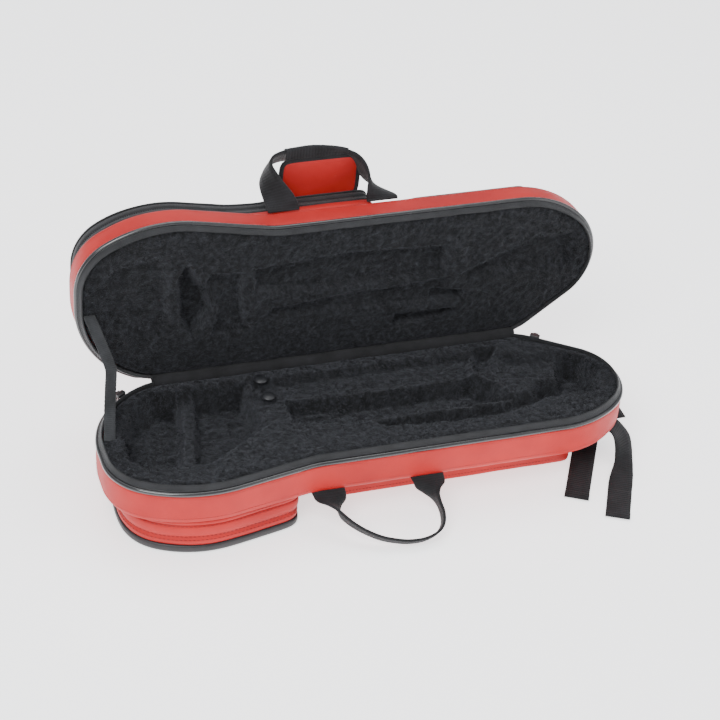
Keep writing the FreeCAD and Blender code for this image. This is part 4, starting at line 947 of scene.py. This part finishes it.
def tab(name, path, body, nodes, mat=webbingCloth, crossed=True):
    # a sewn-down piece of webbing with stitching round it
    bm = bmesh.new()
    ribbon(bm, webRings(path, 0.5))
    keep(finishMesh(name, bm, mat, atBase), body, *nodes, slot="webbing")
    bm = bmesh.new()
    for share in (-0.4, 0.4):
        pathStitches(bm, path, share)
    if crossed:
        for p, a, n, w, t in (path[1], path[-2]):
            line = [(p + a * w * s + n * t * 0.5) * mm for s in (-0.4, -0.2, 0, 0.2, 0.4)]
            stitchLine(bm, line, [n] * 5)
    keep(finishMesh(name + "Stitches", bm, blackThread, atBase), body, slot="webbing")


def lidPoint(x, y, z):
    return (atBase.inverted() @ atLid @ (Vector((x, y, z)) * mm)) / mm


lidOut = ((atBase.inverted() @ atLid).to_3x3() @ Vector((0, 0, 1))).normalized()
for index, x in enumerate((263.5, 392.5)):
    path = [(lidPoint(x, -y, 48.3), acrossX, lidOut, 41, 2.2) for y in (172, 176, 180, 184, 188)]
    tab("lidHandleAnchor%d" % index, path, "lid", ["lid_handle_anchors"] if not index else [])
for index, x in enumerate((260, 388)):
    path = [(Vector((x, y, -59.2)), acrossX, Vector((0, 0, -1)), 41, 2.4)
            for y in (-164, -171, -178, -185, -192)]
    tab("baseHandleAnchor%d" % index, path, "base", ["base_handle_anchors"] if not index else [])


# hook tape on the grip, with a cut edge of small teeth
hookStrip = {"wide": 33, "thick": 1.7}
bm = bmesh.new()
rings = []
for i, (p, a, n, w, t) in enumerate(easedPath(gripPath, 90)):
    rings += webRings([(p + n * (1.5 + hookStrip["thick"] / 2), a, n, hookStrip["wide"] + (2.4 if i % 2 else 0),
                        hookStrip["thick"])])
ribbon(bm, rings)
keep(finishMesh("gripHookStrip", bm, hookCloth, atBase), "lid_handle", "grip_hook_strip", slot="hook_strip")
bm = bmesh.new()
for k in range(900):
    p, a, n, w, t = random.choice(gripPath)
    p = p + n * (2.3 + hookStrip["thick"] / 2) + acrossX * random.uniform(-1, 1) + a * random.uniform(-16, 16)
    tilt = (gripOut + acrossX * random.uniform(-0.7, 0.7) + gripNormal * random.uniform(-0.7, 0.7)).normalized()
    box8(bm, p * mm, (acrossX, gripNormal, tilt), (0.16 * mm, 0.16 * mm, 0.75 * mm))
keep(finishMesh("gripHooks", bm, hookCloth, atBase, shade=False), "lid_handle", slot="hook_strip")

# grip pad: hangs from the grip's front edge; drawn flat, then stood up
padLow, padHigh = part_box("grip_pad_binding")
padSpec = {"long": 108, "deep": 66, "round": 40, "push": -0.005}
middle = (padLow + padHigh) / 2
atPad = Matrix.Translation(middle + Vector((padSpec["push"], 0, 0))) @ Matrix.Rotation(math.radians(90), 4, "X")
halfLong, halfDeep = padSpec["long"] / 2, padSpec["deep"] / 2
corners = [(-halfLong, halfDeep), (-halfLong, -halfDeep), (halfLong, -halfDeep), (halfLong, halfDeep)]
loop = closedLoop(corners, padSpec["round"], 2.5)
for face, sign in (("Front", 1), ("Back", -1)):
    profile = [(0.93, 0.2), (0.91, 1.2), (0.85, 1.6), (0.7, 1.9), (0.5, 2.0), (0.3, 2.1), (0.1, 2.1)]
    bm = bmesh.new()
    rows = [[bm.verts.new(Vector((x * k, y * k, sign * d)) * mm) for x, y, nx, ny in loop] for k, d in profile]
    for r0, r1 in zip(rows, rows[1:]):
        for k in range(len(loop)):
            bm.faces.new((r0[k], r0[(k + 1) % len(loop)], r1[(k + 1) % len(loop)], r1[k]))
    bm.faces.new(rows[-1])
    obj = finishMesh("gripPad" + face, bm, redLid, atPad)
    keep(obj, "grip_pad", *(["grip_pad_panel"] if sign > 0 else []), slot="shell_leatherette")
bm = bmesh.new()
profile = [(-6.0, 1.2), (-5.4, 1.75), (-1.4, 1.75), (-0.3, 1.0), (0, 0), (-0.3, -1.0), (-1.4, -1.75),
           (-5.4, -1.75), (-6.0, -1.2)]
rings = [[Vector((x + g * nx, y + g * ny, d)) * mm for g, d in profile] for x, y, nx, ny in loop]
ribbon(bm, rings, closed=True)
keep(finishMesh("gripPadBinding", bm, bindingCloth, atPad), "grip_pad", "grip_pad_binding", slot="binding")
bm = bmesh.new()
for sign in (1, -1):
    line = [Vector((x - 4.6 * nx, y - 4.6 * ny, 1.72 * sign)) * mm for x, y, nx, ny in loop]
    stitchLine(bm, line, [Vector((0, 0, sign))] * len(line), 2.4, 1.6)
keep(finishMesh("gripPadStitches", bm, blackThread, atPad), "grip_pad", slot="binding")
# webbing that wraps the grip's front edge and holds the pad
bm = bmesh.new()
rings = []
for p, a, n, w, t in easedPath(gripPath, 60):
    edge = p + a * w / 2
    outer = [Vector((edge.x, 107.0, 231)), Vector((edge.x, 106.8, 237)),
             Vector((edge.x, edge.y - 2.6, edge.z - 3)),
             edge - gripOut * 1.2 + a * 1.9, edge + n * 1.6 + a * 2.2]
    inner = [edge + n * 1.6 + a * 1.2, edge - gripOut * 1.0 + a * 0.9,
             Vector((edge.x, edge.y - 1.6, edge.z - 3)),
             Vector((edge.x, 107.9, 237)), Vector((edge.x, 108.1, 231))]
    rings.append([v * mm for v in outer + inner])
ribbon(bm, rings)
keep(finishMesh("gripPadFlap", bm, webbingCloth, atBase), "grip_pad", "grip_pad_flap", slot="binding")
print("handles made")


# ---------- strap tails, stay, hinge ----------

tails = {
    "left": {"start": (656, -83), "turn": 241.6, "run": 154, "node": "strap_tail_left", "lead": []},
    "right": {"start": (691, -122), "turn": 243.4, "run": 160, "node": "strap_tail_right",
              "lead": [(640, -123, -61.2, 36.9), (650, -131, -61.8, 36.9), (660, -138, -64, 38),
                       (667, -142, -71, 44),
                       (672.5, -148.5, -82, 61), (672.5, -157, -94, 69), (669, -167, -102.5, 76)]},
}
for name, spec in tails.items():
    a = math.radians(spec["turn"])
    way, side, up = (Vector((math.cos(a), math.sin(a), 0)), Vector((math.sin(a), -math.cos(a), 0)),
                     Vector((0, 0, 1)))
    spine = [(0, -61.3), (8, -61.4), (18, -64), (28, -73), (38, -88), (47, -99.5), (57, -105.2), (70, -106.6)]
    spine += [(s, -106.7 + 0.3 * math.sin(s / 9)) for s in np.linspace(84, spec["run"] - 12, 6)]
    spine += [(spec["run"] - 3, -106.4), (spec["run"], -106.3)]
    keys = []
    for i, (s, z) in enumerate(spine):
        s0, z0 = spine[max(i - 1, 0)]
        s1, z1 = spine[min(i + 1, len(spine) - 1)]
        run = (way * (s1 - s0) + up * (z1 - z0)).normalized()
        spot = Vector((*spec["start"], 0)) + way * s + up * z
        keys.append((spot, side, side.cross(run) * (1 if side.cross(run).z > 0 or i < 2 else -1), 31, 1.8))
    if spec["lead"]:
        # this strap leaves sideways, turns down and then lies along its line on the floor
        lead = []
        for k, (x, y, z, facing) in enumerate(spec["lead"]):
            b = math.radians(facing)
            here = spec["lead"][min(k + 1, len(spec["lead"]) - 1)][:3]
            run = (Vector(here) - Vector(spec["lead"][max(k - 1, 0)][:3])).normalized()
            edge = Vector((-math.sin(b), -math.cos(b), 0))
            lead.append((Vector((x, y, z)), edge, edge.cross(run), 31, 1.8))
        keys = lead + keys[9:]
    path = easedPath(keys, 90)
    bm = bmesh.new()
    ribbon(bm, webRings(path, 0.5))
    # the end is folded over itself and sewn
    fold = []
    for s, lift in ((9.5, 2.0), (8.5, 1.9), (4, 1.8), (0.5, 1.5), (-0.9, 0.7), (-1.0, 0.0)):
        spot = Vector((*spec["start"], 0)) + way * (spec["run"] - s) + up * (-106.3 + lift)
        fold.append((spot, side, up if s > 0 else (up + way).normalized(), 31.4, 1.8))
    ribbon(bm, webRings(easedPath(fold, 16)))
    obj = finishMesh("strapTail" + name.title(), bm, webbingCloth, atBase)
    keep(obj, "base", spec["node"], slot="webbing")
    bm = bmesh.new()
    for s in (2.2, 7.4):
        spot = Vector((*spec["start"], 0)) + way * (spec["run"] - s) + up * (-106.3 + 2.8)
        stitchLine(bm, [(spot + side * k) * mm for k in (-14.5, -5, 5, 14.5)], [up] * 4, 2.4, 1.2)
    keep(finishMesh("strapTail" + name.title() + "Stitches", bm, blackThread, atBase), "base", slot="webbing")
    low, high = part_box("strap_anchor_" + name)
    spots = [atBase.inverted() @ Vector((x, (low.y + high.y) / 2, (low.z + high.z) / 2)) / mm
             for x in np.linspace(low.x + 0.001, high.x - 0.001, 6)]
    path = [(p, Vector((0, 1, 0)), Vector((0, 0, -1)), 31, 2.4) for p in spots]
    tab("strapAnchor" + name.title(), path, "base", ["strap_anchor_" + name])

stay = {"keys": [(8, -101.5, -3.0), (9.5, -96, 2.5), (13, -80, 23), (18, -62, 47), (21, -51.5, 61),
                 (20.5, -45, 67.5),
                 (18, -34, 75.5), (14, -18, 87), (10.5, -4, 96.5), (8.2, 5, 101.5), (7.5, 10.5, 103)],
                 "wide": 14, "thick": 1.5}
keys = []
for i, spot in enumerate(stay["keys"]):
    run = (Vector(stay["keys"][min(i + 1, 10)]) - Vector(stay["keys"][max(i - 1, 0)])).normalized()
    side = (acrossX - run * acrossX.dot(run)).normalized()
    keys.append((Vector(spot), side, side.cross(run), stay["wide"], stay["thick"]))
bm = bmesh.new()
ribbon(bm, webRings(easedPath(keys, 120), 0.8))
obj = finishMesh("lidStay", bm, stayCloth, atBase)
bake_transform(obj)
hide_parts("lid_stay")

hingeStrip = {"left": 84, "right": 570,
              "bend": [(-3.4, -11), (-3.0, -7), (-2.2, -3.2), (-0.9, -0.9), (0.9, 0.9),
                                                (3.2, 2.0), (7, 2.6), (11, 2.9)]}
bm = bmesh.new()
rings = []
for i in range(160):
    x = hingeStrip["left"] + (hingeStrip["right"] - hingeStrip["left"]) * i / 159
    wave = 0.35 * noise.noise(Vector((x / 19, 4.4, 0)))
    top = [(y + wave, z + wave) for y, z in hingeStrip["bend"]]
    under = [(y + 0.9, z - 0.9) for y, z in top[::-1]]
    rings.append([Vector((x, y, z)) * mm for y, z in top + under])
ribbon(bm, rings)
obj = finishMesh("hingeTape", bm, bindingCloth, atBase)
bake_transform(obj)
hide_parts("base_hinge_tape", "lid_hinge_tape")
print("straps and hinge made")


# ---------- studs, sliders ----------

for name in ("stud_rear", "stud_front"):
    low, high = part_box(name)
    centre = (low + high) / 2
    bm = bmesh.new()
    bmesh.ops.create_uvsphere(bm, u_segments=32, v_segments=14, radius=1.0)
    bm.transform(Matrix.Translation((centre.x, centre.y, low.z))
                 @ Matrix.Diagonal((8.6 * mm, 8.6 * mm, 3.2 * mm, 1)))
    keep(finishMesh("cap" + name.title().replace("_", ""), bm, studCap), "base", name, slot="studs")

for name, node in frame["nodes"].items():
    if "slider" in name or "pull" in name or name == "bell_pocket_zip":
        node.data.materials.clear()
        node.data.materials.append(tapeCloth if name == "bell_pocket_zip" else sliderPaint)
print("studs and sliders made")


# ---------- floor, light, camera ----------

floor = {"color": (0.93, 0.93, 0.94), "half": 6.0, "glow": 1.3}
bm = bmesh.new()
bmesh.ops.create_grid(bm, x_segments=2, y_segments=2, size=floor["half"])
mat, tree, shader = newMaterial("floorPaper", floor["color"], 0.85, specular=0.2)
shader.inputs["Emission Color"].default_value = (1, 1, 1, 1)
shader.inputs["Emission Strength"].default_value = floor["glow"]
bumpInto(tree, shader, noiseNode(tree, 120, 4), 0.05, 0.001)
finishMesh("floor", bm, mat, Matrix.Translation((0, 0, -0.0004)))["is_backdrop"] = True

world = bpy.data.worlds.new("softRoom")
bpy.context.scene.world = world
world.use_nodes = True
world.node_tree.nodes["Background"].inputs["Color"].default_value = (0.93, 0.95, 1.0, 1)
world.node_tree.nodes["Background"].inputs["Strength"].default_value = 0.85

lights = {
    "key": {"spot": (-1.4, -1.6, 2.6), "power": 90, "size": 1.6},
    "fill": {"spot": (2.2, -1.4, 1.6), "power": 26, "size": 2.4},
    "top": {"spot": (0.2, 0.9, 2.6), "power": 34, "size": 1.8},
}
for name, spec in lights.items():
    lamp = bpy.data.lights.new(name, "AREA")
    lamp.energy, lamp.size = spec["power"], spec["size"]
    obj = bpy.data.objects.new(name, lamp)
    obj.location = spec["spot"]
    obj.rotation_euler = (Vector((0, 0, 0.12)) - Vector(spec["spot"])).to_track_quat("-Z", "Y").to_euler()
    bpy.context.scene.collection.objects.link(obj)

lens = bpy.data.cameras.new("camera")
lens.lens, lens.sensor_width = 110, 36
camera = bpy.data.objects.new("camera", lens)
view = {"spot": (-0.794, -2.0109, 1.7765), "right": (0.94812, -0.30919, 0.07393),
        "up": (0.12895, 0.58658, 0.79956), "back": (-0.29058, -0.74855, 0.59602)}
turn = Matrix((view["right"], view["up"], view["back"])).transposed()
camera.matrix_world = Matrix.Translation(view["spot"]) @ turn.to_4x4()
bpy.context.scene.collection.objects.link(camera)
bpy.context.scene.camera = camera

low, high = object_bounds()
